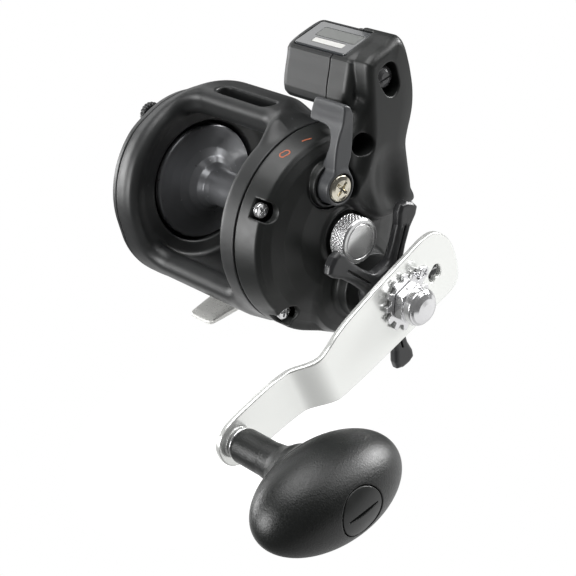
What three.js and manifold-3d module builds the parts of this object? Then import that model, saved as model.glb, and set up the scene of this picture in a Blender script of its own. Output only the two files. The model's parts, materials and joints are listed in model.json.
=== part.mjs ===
// Star-drag, level-wind, line-counter conventional trolling reel.
// Millimetres. +X runs along the spool towards the crank, +Y is the way the line leaves, +Z is up.
// The shapes are drawn about the spool axis and moved at the end so that the origin is the middle
// of the underside of the reel foot.
import * as THREE from 'three';
import { mergeVertices } from 'three/addons/utils/BufferGeometryUtils.js';
import Module from 'manifold-3d';

const wasm = await Module();
wasm.setup();

// ---------------------------------------------------------------- driving dimensions
const FOOT_X = 20.2, FOOT_Y = 2, FOOT_Z = -35.7;  // middle of the foot underside
const FOOT_LONG = 66, FOOT_WIDE = 15.2, FOOT_END = 12, FOOT_THICK = 2.2;
const RING_R = 34.3, RING_R_RIGHT = 35.2;         // frame rings
const LEFT_X0 = -8, LEFT_X1 = -0.6;               // left ring
const RIGHT_X0 = 51, RIGHT_X1 = 57.6;             // right ring
const BASE_Y = 20.6, BASE_Z = -33.2;              // flat bottom of the rings
const SPOOL_R = 21, SPOOL_X1 = 50.4, ARBOR_R = 6.5;
const BORE_R = 22;                                // opening in each ring
const HUB_Y = 2.5, HUB_Z = -20.5;                 // crank axis
const MAIN_R = 16.4, PINION_R = 3.8;
const PLATE_X0 = 57.9, BAND_X1 = 66.4, PLATE_X1 = 72.4, CASE_R = 19.7;
const COUNT_Y = 28, COUNT_Z = 45;                 // counter shaft
const WORM_Y = 26, WORM_Z = -7.5;
const LEVER_Y = -0.5, LEVER_Z = 19.6;
const ARM = 72.9, ARM_DEG = 189.2;                  // crank arm length and its rest direction
const ARM_X = 90.8, ARM_T = 2.2, ARM_STEP = 6;
const EGG_Y = HUB_Y + ARM * Math.cos(ARM_DEG * Math.PI / 180);
const EGG_Z = HUB_Z + ARM * Math.sin(ARM_DEG * Math.PI / 180);
const CLICK_Y = -4.6, CLICK_Z = 26.0;
const STAR_DEG = 56.8, STAR_R = 31;
const GAP = 0.3;

// ---------------------------------------------------------------- helpers
const RAD = Math.PI / 180;
const INTO_X = new THREE.Matrix4().makeBasis(
  new THREE.Vector3(0, 1, 0), new THREE.Vector3(0, 0, 1), new THREE.Vector3(1, 0, 0));
const TURN_X = new THREE.Matrix4().makeBasis(
  new THREE.Vector3(0, 1, 0), new THREE.Vector3(1, 0, 0), new THREE.Vector3(0, 0, -1));

function solid(geometry) {
  const g = geometry.clone();
  g.deleteAttribute('normal');
  g.deleteAttribute('uv');
  const m = mergeVertices(g, 1e-4);
  const keep = [];
  const id = m.index.array;
  for (let i = 0; i < id.length; i += 3) {
    const [a, b, c] = [id[i], id[i + 1], id[i + 2]];
    if (a !== b && b !== c && a !== c) keep.push(a, b, c);
  }
  return new wasm.Manifold(new wasm.Mesh({
    numProp: 3,
    vertProperties: new Float32Array(m.attributes.position.array),
    triVerts: new Uint32Array(keep),
  }));
}

// A flat outline of [y, z] points pushed along X from x0 to x1.
function slab(outline, x0, x1, holes = []) {
  const shape = new THREE.Shape(outline.map(([y, z]) => new THREE.Vector2(y, z)));
  for (const h of holes) shape.holes.push(new THREE.Path(h.map(([y, z]) => new THREE.Vector2(y, z))));
  const g = new THREE.ExtrudeGeometry(shape, { depth: x1 - x0, bevelEnabled: false });
  g.applyMatrix4(INTO_X);
  g.translate(x0, 0, 0);
  return solid(g);
}

// A profile of [radius, x] points turned about a line along X through (cy, cz).
function turned(profile, cy = 0, cz = 0, segments = 24) {
  const pts = profile.map(([r, x]) => new THREE.Vector2(r, x));
  const g = new THREE.LatheGeometry(pts, segments);
  g.applyMatrix4(TURN_X);
  g.translate(0, cy, cz);
  return solid(g);
}

function rod(r, x0, x1, cy = 0, cz = 0, segments = 18) {
  return turned([[0, x0], [r, x0], [r, x1], [0, x1]], cy, cz, segments);
}

function tube(ro, ri, x0, x1, cy = 0, cz = 0, segments = 24) {
  return turned([[ri, x0], [ro, x0], [ro, x1], [ri, x1], [ri, x0]], cy, cz, segments);
}

function block(x0, x1, y0, y1, z0, z1) {
  const g = new THREE.BoxGeometry(x1 - x0, y1 - y0, z1 - z0);
  g.translate((x0 + x1) / 2, (y0 + y1) / 2, (z0 + z1) / 2);
  return solid(g);
}

function arc(cy, cz, r, a0, a1, n) {
  const out = [];
  for (let i = 0; i <= n; i++) {
    const a = (a0 + (a1 - a0) * i / n) * RAD;
    out.push([cy + r * Math.cos(a), cz + r * Math.sin(a)]);
  }
  return out;
}

function circle(cy, cz, r, n = 40) {
  return arc(cy, cz, r, 0, 360 - 360 / n, n - 1);
}

// Convex outline round a set of points.
function hull(points) {
  const p = [...points].sort((a, b) => a[0] - b[0] || a[1] - b[1]);
  const side = (o, a, b) => (a[0] - o[0]) * (b[1] - o[1]) - (a[1] - o[1]) * (b[0] - o[0]);
  const half = (list) => {
    const h = [];
    for (const q of list) {
      while (h.length > 1 && side(h[h.length - 2], h[h.length - 1], q) <= 1e-9) h.pop();
      h.push(q);
    }
    h.pop();
    return h;
  };
  return half(p).concat(half(p.reverse()));
}

// A pocket-free outline moved inwards by d (counter-clockwise points).
function inset(outline, d) {
  const n = outline.length;
  return outline.map((p, i) => {
    const a = outline[(i + n - 1) % n], b = outline[(i + 1) % n];
    const u = new THREE.Vector2(p[0] - a[0], p[1] - a[1]).normalize();
    const v = new THREE.Vector2(b[0] - p[0], b[1] - p[1]).normalize();
    const m = new THREE.Vector2(-u.y - v.y, u.x + v.x).normalize();
    const k = d / Math.max(0.5, m.x * -u.y + m.y * u.x);
    return [p[0] + m.x * k, p[1] + m.y * k];
  });
}

// A spur gear: teeth of a plain trapezoid shape, bored, turned by a phase angle in degrees.
function gear(tip, root, teeth, x0, x1, cy, cz, bore, phase = 0) {
  const pts = [];
  for (let i = 0; i < teeth; i++) {
    for (const [f, r] of [[-0.28, root], [0, tip], [0.28, root]]) {
      const a = (phase + (i + f) * 360 / teeth) * RAD;
      pts.push([cy + r * Math.cos(a), cz + r * Math.sin(a)]);
    }
  }
  const body = slab(pts, x0, x1);
  return bore > 0 ? body.subtract(rod(bore, x0 - 1, x1 + 1, cy, cz, 16)) : body;
}

function all(first, ...rest) {
  return rest.reduce((a, b) => a.add(b), first);
}

const group = new THREE.Group();
group.name = 'trolling_reel';

function piece(name, body, color, roughness, metalness) {
  const src = body.simplify(0.02).getMesh();
  const g = new THREE.BufferGeometry();
  g.setAttribute('position', new THREE.BufferAttribute(new Float32Array(src.vertProperties), 3));
  g.setIndex(new THREE.BufferAttribute(new Uint32Array(src.triVerts), 1));
  g.translate(-FOOT_X, -FOOT_Y, -FOOT_Z);
  const flat = g.toNonIndexed();
  flat.computeVertexNormals();
  const mesh = new THREE.Mesh(flat, new THREE.MeshStandardMaterial({ color, roughness, metalness }));
  mesh.name = name;
  group.add(mesh);
  return mesh;
}

const GRAPHITE = [0x3b3d3f, 0.55, 0.0];
const STEEL = [0xb9bbbb, 0.3, 1.0];
const BRIGHT = [0xd9dbdc, 0.2, 1.0];
const BRASS = [0xb08d3c, 0.35, 1.0];
const BLACK = [0x1d1e1f, 0.5, 0.0];
const NICKEL = [0xcfc8b4, 0.25, 1.0];
const SPOOL_METAL = [0x4a4c4e, 0.35, 0.6];
const FIBRE = [0x26241f, 0.9, 0.0];
const ACETAL = [0xd8d5c8, 0.6, 0.0];
const WHITE = [0xf2f2ee, 0.5, 0.0];
const LENS = [0x2a2c2e, 0.08, 0.0];

// ---------------------------------------------------------------- outlines shared by rings and plates
function ringOutline(r, base = BASE_Y) {
  const low = base === BASE_Y ? circle(-4, -6, r - 5.3, 30) : [];
  return hull([...arc(0, 0, r, -42, 222, 34), ...low, [-base, BASE_Z + 1.5], [-base + 1.5, BASE_Z],
    [base - 1.5, BASE_Z], [base, BASE_Z + 1.5]]);
}

const plateOutline = (r, c) => hull([...circle(0, 0, r, 36), ...circle(HUB_Y, HUB_Z, c, 24)]);

const COLUMN = [
  [29.2, -2.5], [29.9, 3], [30.4, 9], [30.7, 13.2], [31.4, 19.3], [33.5, 23.6], [35.5, 26.8], [37.5, 31],
  [38.8, 36.2], [39.2, 42], [39.1, 46.5], [38.7, 50.6], [37.6, 53.8], [35.2, 55.4], [27, 55],
  [22.6, 53.9], [20.6, 51.6], [18.6, 41], [15.6, 28.4], [10, 20], [4, 14], [12, 0],
];
const COLUMN_IN = [
  [27.4, 4], [28.2, 13], [29, 18.8], [31.2, 23.8], [33, 27.2], [35.2, 31.6], [36.4, 36.4], [36.8, 42],
  [36.7, 46.4], [36.3, 50], [35.2, 51.6], [33.6, 52.0], [27, 51.6], [24.6, 50.8], [23.2, 49.4],
  [21, 40.4], [17.9, 27.6], [13.5, 20], [14, 6],
];
const CASE = [
  [15, 37.4], [37.8, 37.0], [39.1, 41], [39.1, 47], [38.7, 50.6], [37.6, 53.8], [35.2, 55.4], [28, 55.2],
  [22.4, 54.4], [20.2, 53.3], [19.1, 51.6],
];

// ---------------------------------------------------------------- frame and foot
function frame() {
  const leftRing = slab(ringOutline(RING_R), LEFT_X0, LEFT_X1)
    .subtract(turned([[0, -9], [28, -9], [28, -6], [BORE_R, -5], [BORE_R, -3.2], [26.5, 0], [0, 0]]));
  const rightRing = slab(ringOutline(RING_R_RIGHT, 17.4), RIGHT_X0, RIGHT_X1)
    .subtract(rod(BORE_R, 50, 58, 0, 0, 36))
    .subtract(rod(3.4, 50, 58, WORM_Y, WORM_Z));
  // the top bar is a thick crowned pad with a slot along its middle
  const bar = (r, a0, a1, x0, x1) =>
    slab([...arc(0, 0, r, a0, a1, 10), ...arc(0, 0, 28.4, a1, a0, 10)], x0, x1);
  const topBar = all(bar(34.6, 41, 88, -1.1, 51.5), bar(36.2, 42, 92, -3.6, 53), bar(37.8, 43, 89, 3.4, 47));
  const slot = slab([...arc(0, 0, 42, 72.6, 82.4, 2), ...arc(0, 0, 20, 82.4, 72.6, 2)], 12.3, 40.3);
  const lowBar = slab([
    ...arc(0, 0, 27.2, 204, 262, 8), [0, -28], [16, -28], [19.5, -26.5], [BASE_Y, BASE_Z + 1.5],
    [BASE_Y - 1.5, BASE_Z], [-BASE_Y + 1.5, BASE_Z], [-BASE_Y - 1, BASE_Z + 2], [-26.5, -22],
    [-30.5, -16], [-31, -13.5],
  ].reverse(), LEFT_X1 - 0.5, RIGHT_X0 + 0.5);
  const pillar = rod(3, LEFT_X1 - 0.5, RIGHT_X0 + 0.5, 27, 14.5, 16);
  let body = all(leftRing, rightRing, topBar.subtract(slot), lowBar, pillar);
  for (const [x, y] of FOOT_SCREWS) {
    body = body.subtract(upright(1.6, x, y, -36, -26)).subtract(upright(3.1, x, y, -28.6, -26));
  }
  return body;
}

function upright(r, x, y, z0, z1, n = 16) {
  const g = new THREE.CylinderGeometry(r, r, z1 - z0, n);
  g.rotateX(Math.PI / 2);
  g.translate(x, y, (z0 + z1) / 2);
  return solid(g);
}

const FOOT_SCREWS = [[FOOT_X - 4.5, -13], [FOOT_X + 4.5, -13], [FOOT_X - 4.5, 13],
  [FOOT_X + 4.5, 13]];

function foot() {
  const w = FOOT_WIDE / 2, e = FOOT_END / 2, l = FOOT_LONG / 2;
  const plan = [[-w, -14], [-e, -l + 2], [-e + 2, -l], [e - 2, -l], [e, -l + 2], [w, -14],
    [w, 14], [e, l - 2], [e - 2, l], [-e + 2, l], [-e, l - 2], [-w, 14]];
  const shape = new THREE.Shape(plan.map(([x, y]) => new THREE.Vector2(x, y)));
  const g = new THREE.ExtrudeGeometry(shape, { depth: 6, bevelEnabled: false });
  g.translate(FOOT_X, FOOT_Y, FOOT_Z - 2);
  const t = FOOT_THICK;
  const section = [[-9.5, -0.9], [-5, 0], [5, 0], [9.5, -0.9], [9.5, -0.9 + t], [5, t], [-5, t],
    [-9.5, -0.9 + t]];
  const s = new THREE.Shape(section.map(([x, z]) => new THREE.Vector2(x, z)));
  const arch = new THREE.ExtrudeGeometry(s, { depth: FOOT_LONG + 2, bevelEnabled: false });
  arch.rotateX(Math.PI / 2);
  arch.translate(FOOT_X, FOOT_Y + FOOT_LONG / 2 + 1, FOOT_Z);
  let body = solid(g).intersect(solid(arch));
  for (const [x, y] of FOOT_SCREWS) body = body.subtract(upright(1.6, x, y, -38, -30));
  return body;
}

// A screw standing along Z, head up.
function footScrew(x, y) {
  return all(upright(1.3, x, y, FOOT_Z + 0.2, -28), upright(2.6, x, y, -28.3, -26.9, 14));
}

// ---------------------------------------------------------------- left side
function leftPlate() {
  const out = ringOutline(RING_R);
  const rim = slab(inset(out, 0.9), -9.8, LEFT_X0 - GAP);
  const dome = turned([[0, -15.2], [18, -15.0], [25, -14.0], [29.6, -12.6], [31.2, -11.2], [0, -11.2]],
    0, 0, 36);
  const shoulder = slab(inset(out, 2.3), -11.3, -9.7);
  const pocket = turned([[0, -13.2], [19, -13.0], [27.8, -11.6], [29.6, -10], [29.6, -8], [0, -8]],
    0, 0, 28);
  const boss = LEFT_SCREWS.reduce((b, [y, z]) => b.add(rod(3.2, -12.8, LEFT_X0 - GAP, y, z, 14)),
    tube(7.6, 5.8, -13.4, -7, 0, 0, 20));
  const key = slab(hull([...circle(CLICK_Y, CLICK_Z, 1.9, 14),
    ...circle(CLICK_Y + 3.12, CLICK_Z + 0.75, 1.9, 14)]), -16, -8);
  const room = slab(hull([...circle(CLICK_Y - 0.3, CLICK_Z - 0.1, 2.5, 14),
    ...circle(CLICK_Y + 3.3, CLICK_Z + 0.8, 2.5, 14)]), -11.2, -8.6);
  let body = all(rim, dome, shoulder).subtract(pocket).add(boss).subtract(key).subtract(room);
  for (const [y, z] of LEFT_SCREWS) {
    body = body.subtract(rod(1.7, -16, -8, y, z, 12))
      .subtract(rod(3.1, -16, -12.6, y, z, 16));
  }
  return body;
}

const LEFT_SCREWS = [[24.2, 13.6], [-25.4, -10.4]];

function axialScrew(y, z, x0, x1, head, r = 1.3, hr = 2.7) {
  // x0 is the threaded end, x1 the head face
  const s = Math.sign(x1 - x0);
  const top = x1 - s * head * 0.5;
  const shank = rod(r, Math.min(x0, top), Math.max(x0, top), y, z, 12);
  const cap = s > 0
    ? turned([[0, x1 - head], [hr, x1 - head], [hr, x1 - 0.5], [hr - 0.6, x1], [0, x1]], y, z, 14)
    : turned([[0, x1], [hr - 0.6, x1], [hr, x1 + 0.5], [hr, x1 + head], [0, x1 + head]], y, z, 14);
  return shank.add(cap);
}

function clickerButton() {
  const y = CLICK_Y, z = CLICK_Z;
  const cap = turned([[0, -18.4], [3.6, -18.4], [4.4, -17.6], [4.4, -15.6], [0, -15.6]], y, z, 18);
  const stem = rod(1.5, -16, -10.5, y, z, 14);
  return all(cap, stem, rod(2.0, -10.9, -9.8, y, z, 14));
}

// ---------------------------------------------------------------- spool
function spool() {
  const m = SPOOL_X1;
  return turned([
    [2.4, -2.6], [5, -2.6], [6.6, -1.2], [17, -0.6], [19.6, -2.2], [SPOOL_R, -2.2], [SPOOL_R, 0.2],
    [20, 0.8], [16.5, 1.4], [9.2, 4.6], [ARBOR_R, 8], [ARBOR_R, m - 9], [9.2, m - 5.4], [16.5, m - 2],
    [20, m - 1.2], [SPOOL_R, m - 0.6], [SPOOL_R, m + 1.4], [19.6, m + 1.4], [17, m], [6.6, m + 0.6],
    [5, m + 2], [2.4, m + 2], [2.4, -2.6],
  ], 0, 0, 36);
}

// ---------------------------------------------------------------- level wind
function worm() {
  const core = rod(2.1, 1.0, 62.6, WORM_Y, WORM_Z, 12);
  const land = [];
  for (let i = 0; i < 8; i++) {
    const x = 6 + i * 5.6;
    land.push(turned([[2, x], [3, x + 0.5], [3, x + 2.1], [2, x + 2.6], [1, x + 2.6], [1, x], [2, x]],
      WORM_Y, WORM_Z, 12));
  }
  return all(core, ...land);
}

function wormTube() {
  const shell = tube(5.2, 3.6, -0.4, 50.8, WORM_Y, WORM_Z, 18);
  const mouth = block(3, 48.4, WORM_Y - 2.2, WORM_Y + 2.2, WORM_Z - 8, WORM_Z);
  return shell.subtract(mouth);
}

function lineGuide() {
  const x0 = 21.5, x1 = 31.5;
  const ringPart = tube(7.4, 5.6, x0, x1, WORM_Y, WORM_Z, 18);
  const neck = upright(4.2, 26.5, WORM_Y, WORM_Z - 13.6, WORM_Z - 6.4, 16)
    .subtract(upright(2.1, 26.5, WORM_Y, WORM_Z - 16, WORM_Z - 3));
  const eye = block(x0 + 0.6, x1 - 0.6, 23.2, 28.8, 0, 10.6)
    .subtract(block(24.3, 28.7, 20, 32, 1.8, 9.2));
  const clear = rod(5.6, x0 - 1, x1 + 1, WORM_Y, WORM_Z, 18);
  const grip = block(x0 + 0.6, x1 - 0.6, 23.2, 28.8, -1.6, 0.4);
  return all(ringPart, neck, eye, grip)
    .subtract(clear)
    .subtract(upright(2.1, 26.5, WORM_Y, WORM_Z - 16, WORM_Z - 3));
}

function guidePawl() {
  return upright(1.8, 26.5, WORM_Y, WORM_Z - 13.2, WORM_Z - 3.3, 16);
}

// ---------------------------------------------------------------- right side
function sidePlate() {
  const rim = slab(plateOutline(RING_R_RIGHT, CASE_R - 1), PLATE_X0, 60.2);
  const band = slab(plateOutline(34.3, CASE_R), 60.1, 63.4);
  const band2 = slab(plateOutline(33.2, CASE_R), 63.3, BAND_X1);
  const dome = turned([[0, 66.3], [32.6, 66.3], [31, 67.6], [26, 69.6], [19, 71.2],
    [12, PLATE_X1 - 0.2], [0, PLATE_X1]], 0, 0, 40);
  const gearCase = turned([[0, 66.3], [CASE_R, 66.3], [CASE_R - 0.6, 68.6], [CASE_R - 2.4, 70.6],
    [CASE_R - 5.4, 72.2], [0, 72.8]], HUB_Y, HUB_Z, 30);
  const boss = turned([[0, 70], [11.6, 70], [11.4, 78], [10.6, 78.8], [0, 78.8]], HUB_Y, HUB_Z, 26);
  const column = slab(inset(COLUMN, 0), 60.7, 74.6);
  const column2 = slab(inset(COLUMN, 1.1), 74.5, 76.2);
  const column3 = slab(inset(COLUMN, 2.6), 76.1, 77);
  const leverSeat = rod(6.2, 66, 70.2, LEVER_Y, LEVER_Z, 20);
  const castRim = rod(9.6, 70, 73.2, 0, 0, 26);
  let body = all(rim, band, band2, dome, gearCase, boss, column, column2, column3, leverSeat,
    castRim);
  const cavity = all(
    slab(plateOutline(32.4, CASE_R - 2.2), 57, 61),
    slab(plateOutline(31.2, CASE_R - 1.4), 60.9, 66.0),
    turned([[0, 65.9], [30, 65.9], [24, 68.2], [12, 69.6], [0, 69.6]], 0, 0, 20),
    turned([[0, 65.9], [CASE_R - 2, 65.9], [CASE_R - 4, 69.6], [0, 69.6]], HUB_Y, HUB_Z, 18),
    slab(COLUMN_IN, 60, 74.4));
  body = body.subtract(cavity)
    .subtract(rod(8.4, 71.4, 74, 0, 0, 26))
    .subtract(rod(5.2, 68, 73, 0, 0, 18))
    .subtract(rod(5.6, 68, 79, HUB_Y, HUB_Z, 20))
    .subtract(rod(6.7, 70.2, 76, LEVER_Y, LEVER_Z, 22))
    .subtract(rod(2.6, 64, 72, LEVER_Y, LEVER_Z, 14))
    .subtract(rod(5.7, 65, 75.9, COUNT_Y, COUNT_Z, 22))
    .subtract(lensSeat())
    .subtract(slab(RESET_WINDOW, 72, 79))
    .subtract(rod(2.9, 72.9, 79, 13.6, 26.9, 16));
  for (const [y, z] of SIDE_SCREWS) {
    const a = Math.atan2(z, y);
    body = body.subtract(rod(3.3, 62.2, 75, y, z, 16))
      .subtract(rod(3.3, 62.2, 75, y + 3 * Math.cos(a), z + 3 * Math.sin(a), 16))
      .subtract(rod(1.7, 57, 64, y, z, 12));
  }
  return body;
}

const SIDE_SCREWS = [[-23.6, 20.6], [-25.2, -18.4], [30.2, -11]];
const RESET_WINDOW = [[31.8, 40.4], [29.2, 38.6], [26.2, 39.6], [24.2, 45.4], [24.4, 49.6],
  [31.6, 49.4]].reverse();

function bridgePlate() {
  let body = slab(circle(0, 0, 29.4, 36), 58.2, 59.8);
  body = body.subtract(rod(6.1, 57, 61, 0, 0, 20))
    .subtract(rod(3.3, 57, 61, HUB_Y, HUB_Z, 16))
    .subtract(rod(2.5, 57, 61, WORM_Y, WORM_Z, 16));
  const stud = rod(1.4, 59.7, 62.5, 13.48, -3.89, 12);
  const post = rod(1.6, 59.7, 69, -12, 6, 12);
  const post2 = rod(1.6, 59.7, 69, 12, 9, 12);
  return all(body, stud, post, post2);
}

function counterCover() {
  const x0 = 38.4, x1 = 60.4;
  const mid = slab(CASE, x0 + 2.4, x1);
  const end = slab(inset(CASE, 0.9), x0 + 0.9, x0 + 2.5);
  const end2 = slab(inset(CASE, 2.2), x0, x0 + 1);
  const inside = slab(inset(CASE, 2.0), x0 + 2.2, x1 + 1);
  const skirt = slab(COLUMN, 58.6, x1)
    .subtract(rod(35.9, 58, 61, 0, 0, 40))
    .subtract(block(58, 61, 0, 50, -10, 14));
  return all(mid, end, end2).subtract(inside).add(skirt)
    .subtract(rod(1.8, 50, 58.7, COUNT_Y, COUNT_Z, 14))
    .subtract(rod(1.8, 58, 61, COUNT_Y, COUNT_Z, 14))
    .subtract(lensSeat())
    .subtract(block(43.8, 61, 23.6, 33, 50.8, 56));
}

const lensSeat = () => slab([[21.4, 52.6], [35.2, 53.5], [35.2, 58], [21.4, 58]], 41.6, 65.9);

function lens() {
  const sec = [[21.7, 52.9], [34.9, 53.8], [34.9, 55.3], [33.6, 55.4], [23, 54.5], [21.7, 54.1]];
  return slab(sec, 41.9, 65.6);
}

// ---------------------------------------------------------------- star, arm, knob
function starDrag() {
  const hub = turned([[3.4, 81.4], [9.2, 81.4], [10.2, 82.4], [10.2, 85.4], [8.6, 86.8],
    [3.4, 86.8], [3.4, 81.4]], HUB_Y, HUB_Z, 22);
  let body = hub;
  for (let k = 0; k < 5; k++) {
    const limb = slab([[8, -3.4], [20, -2.9], [STAR_R - 4, -4.2], [STAR_R - 1.4, -3.6],
      [STAR_R, -1.6], [STAR_R, 1.6], [STAR_R - 1.4, 3.6], [STAR_R - 4, 4.2], [20, 2.9], [8, 3.4]],
    82.2, 86);
    body = body.add(limb.rotate([STAR_DEG + 72 * k, 0, 0]).translate([0, HUB_Y, HUB_Z]));
  }
  return body.subtract(rod(3.4, 80, 90, HUB_Y, HUB_Z, 16));
}

function arm() {
  // drawn pointing along +y from the hub, in the plane of the arm
  const near = [[-16, -14], [5, -12.7], [20, -11.4], [28, -10], [36, -8], [36, 12.2], [22, 12.9],
    [-13, 12.9], [-20, 12.7], [-23.6, 11], [-25.6, 6], [-26.2, -1], [-25, -7], [-21.3, -12.2]];
  const far = [[46.5, -7.2], [54, -8.4], [66, -8.9], [73, -8.6], [77.5, -7], [80.3, -3.6], [80.7, 1.2],
    [78.9, 5.2], [75, 7.8], [71, 8.4], [66, 8.5], [54, 9.6], [46.5, 10.8]];
  const step = new THREE.Shape([[ARM_X, 35], [ARM_X + ARM_T, 35], [ARM_X + ARM_T, 36.5],
    [ARM_X + ARM_T - ARM_STEP, 47.6], [ARM_X + ARM_T - ARM_STEP, 49], [ARM_X - ARM_STEP, 49],
    [ARM_X - ARM_STEP, 46.4], [ARM_X, 35.3]].map(([x, y]) => new THREE.Vector2(x, y)));
  const link = new THREE.ExtrudeGeometry(step, { depth: 30, bevelEnabled: false });
  link.translate(0, 0, -15);
  const wide = slab([[34, -8.4], [40, -6.9], [48, -7.4], [48, 10.6], [34, 12.4]], ARM_X - 10, ARM_X + 6);
  let body = all(slab(near, ARM_X, ARM_X + ARM_T),
    slab(far, ARM_X - ARM_STEP, ARM_X + ARM_T - ARM_STEP), solid(link).intersect(wide));
  body = body.subtract(rod(4.3, 80, 96, 0, 0, 18))
    .subtract(rod(2.1, 80, 96, ARM, 0, 16))
    .subtract(rod(1.2, 80, 96, -8.8, -6.1, 12));
  const kidney = slab([[-18.6, -0.6], [-16.6, -2.2], [-12, -0.2], [-11.6, 2.2], [-12.8, 3.9], [-16.8, 3.8],
    [-18.4, 2.6]], 85, 98);
  body = body.subtract(kidney);
  return body.rotate([ARM_DEG, 0, 0]).translate([0, HUB_Y, HUB_Z]);
}

function lockPlate() {
  const pts = [];
  for (let i = 0; i < 18; i++) {
    for (const [f, r] of [[-0.32, 8.3], [-0.26, 9.8], [0.26, 9.8], [0.32, 8.3]]) {
      const a = (i + f) * 20 * RAD;
      pts.push([HUB_Y + r * Math.cos(a), HUB_Z + r * Math.sin(a)]);
    }
  }
  return slab(pts, 93.3, 94.5).subtract(rod(4.4, 92, 96, HUB_Y, HUB_Z, 18));
}

function handleNut() {
  const hex = slab(circle(HUB_Y, HUB_Z, 7.1, 6), 94.8, 99.4)
    .intersect(turned([[0, 94], [6.4, 94.2], [7.3, 95.6], [7.3, 98.4], [6.2, 99.4], [0, 99.4]],
      HUB_Y, HUB_Z, 26));
  const dome = turned([[0, 99.2], [5.5, 99.2], [5.5, 101], [4.7, 102.4], [2.8, 103.2], [0, 103.5]],
    HUB_Y, HUB_Z, 20);
  return all(hex, dome).subtract(rod(3.3, 94, 99.2, HUB_Y, HUB_Z, 16));
}

function driveShaft() {
  return turned([[0, 57.6], [3, 57.6], [3, 60.2], [4.8, 60.2], [4.8, 61.4], [3, 61.4],
    [3, 98.6], [0, 98.6]], HUB_Y, HUB_Z, 18);
}

function knobPost() {
  const x0 = ARM_X - ARM_STEP;
  return turned([[0, x0 - 1.6], [3.8, x0 - 1.6], [3.8, x0 - 0.3], [1.8, x0 - 0.3], [1.8, 132.4], [3.2, 132.6],
    [3.2, 133.8], [0, 133.8]], EGG_Y, EGG_Z, 16);
}

// The knob's long axis leans a little, as it turns freely on its post.
const KNOB_LEAN = -7.5;

function handleKnob() {
  const x0 = ARM_X + ARM_T - ARM_STEP + 1.7, mid = 126.5, across = 15.9;
  const pts = [];
  for (let i = 0; i <= 12; i++) {
    const a = (-68 + 158 * i / 12) * RAD;
    pts.push([across * Math.cos(a), mid + across * Math.sin(a)]);
  }
  pts[12][0] = 0;
  const back = mid + across * Math.sin(-68 * RAD);
  const egg = turned([[0, back], ...pts], 0, 0, 24).scale([1, 27.1 / across, 1]);
  const neck = turned([[0, x0], [5.5, x0], [5.8, x0 + 2], [5.8, x0 + 12], [6.8, x0 + 19],
    [9.6, x0 + 24], [0, x0 + 24]], 0, 0, 20);
  const bore = turned([[0, x0 - 1], [2.2, x0 - 1], [2.2, 132], [8, 132], [8, 144], [0, 144]],
    0, 0, 18);
  return egg.add(neck).subtract(bore).rotate([KNOB_LEAN, 0, 0]).translate([0, EGG_Y, EGG_Z]);
}

function knobCap() {
  const cap = turned([[0, 137.4], [7.7, 137.4], [7.7, 140.6], [5, 141.8], [0, 142.4]], 0, 0, 20)
    .subtract(block(141, 144, -6, 6, -0.6, 0.6));
  return cap.rotate([KNOB_LEAN, 0, 0]).translate([0, EGG_Y, EGG_Z]);
}

function castCap() {
  const cap = turned([[0, 73.6], [7.6, 73.6], [7.9, 74], [7.9, 79.6], [7.3, 80.3], [0, 80.3]], 0, 0, 28);
  return all(cap, rod(4.8, 70.2, 73.7, 0, 0, 18)).subtract(rod(2.4, 69, 77.6, 0, 0, 14));
}

function clutchLever() {
  const base = turned([[0, 70.6], [5.9, 70.6], [5.9, 75.8], [5.2, 76.8], [0, 76.8]], LEVER_Y, LEVER_Z, 20);
  // side view of the arm in the (y, z) plane, then cut to its front-view outline
  const side = slab([[-1, 19], [3.4, 19], [4.8, 24.8], [6.9, 28], [8.9, 34.1], [9.9, 40.1],
    [9.3, 43.8], [8.3, 45.6], [6.8, 46.2], [5.8, 42.6], [4.8, 39.4], [2.2, 35.2], [0.4, 31.2],
    [-1.2, 26.6], [-3, 22]], 60, 80);
  const outline = [[71, 16], [76.6, 16], [76.8, 26], [77, 36], [77.8, 41], [78.4, 44.2], [77.4, 46.4],
    [66, 46.8], [64, 45.4], [62.2, 40.6], [62.8, 38.8], [67, 38.6], [71, 38.2], [72.8, 36.4],
    [73.1, 33.6], [72.2, 30], [70.6, 26.6]];
  const face = new THREE.Shape(outline.map(([x, z]) => new THREE.Vector2(x, z)));
  const front = new THREE.ExtrudeGeometry(face, { depth: 40, bevelEnabled: false });
  front.rotateX(Math.PI / 2);
  front.translate(0, 20, 0);
  return all(base, side.intersect(solid(front)), rod(2.2, 67, 71, LEVER_Y, LEVER_Z, 14))
    .subtract(rod(1.5, 66, 78, LEVER_Y, LEVER_Z, 14))
    .subtract(rod(4.6, 75.4, 78, LEVER_Y, LEVER_Z, 18));
}

// ---------------------------------------------------------------- clutch, click and gear train
function clickPawl() {
  const tip = slab([[2.6, 10], [4.6, 10], [1.1, 5.7], [0.4, 5.7]].reverse(), -5.1, -3.7);
  return rod(1.3, -7.6, -3.2, 3.6, 10.4, 12).add(tip);
}

function pinion() {
  return gear(PINION_R, 3.0, 13, 62.9, 66.4, 0, 0, 2.3).add(tube(3.2, 2.3, 66.3, 68.2, 0, 0, 16));
}

function clutchYoke() {
  const outline = [[-12.9, 4.6], [-11.1, 4.6], [-3.9, 2.6], [-3.5, -2], [3.5, -2], [3.9, 2.6],
    [11.2, 7.4], [12.8, 7.4], [13.9, 9], [13.4, 11], [11, 11.2], [3, 6.4], [-4, 5.9], [-10.4, 8.4],
    [-13.6, 8], [-14, 6]];
  return slab(outline, 66.9, 67.9)
    .subtract(rod(3.5, 66, 69, 0, 0, 16))
    .subtract(rod(1.9, 66, 69, -12, 6, 12))
    .subtract(rod(1.9, 66, 69, 12, 9, 12));
}

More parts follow.
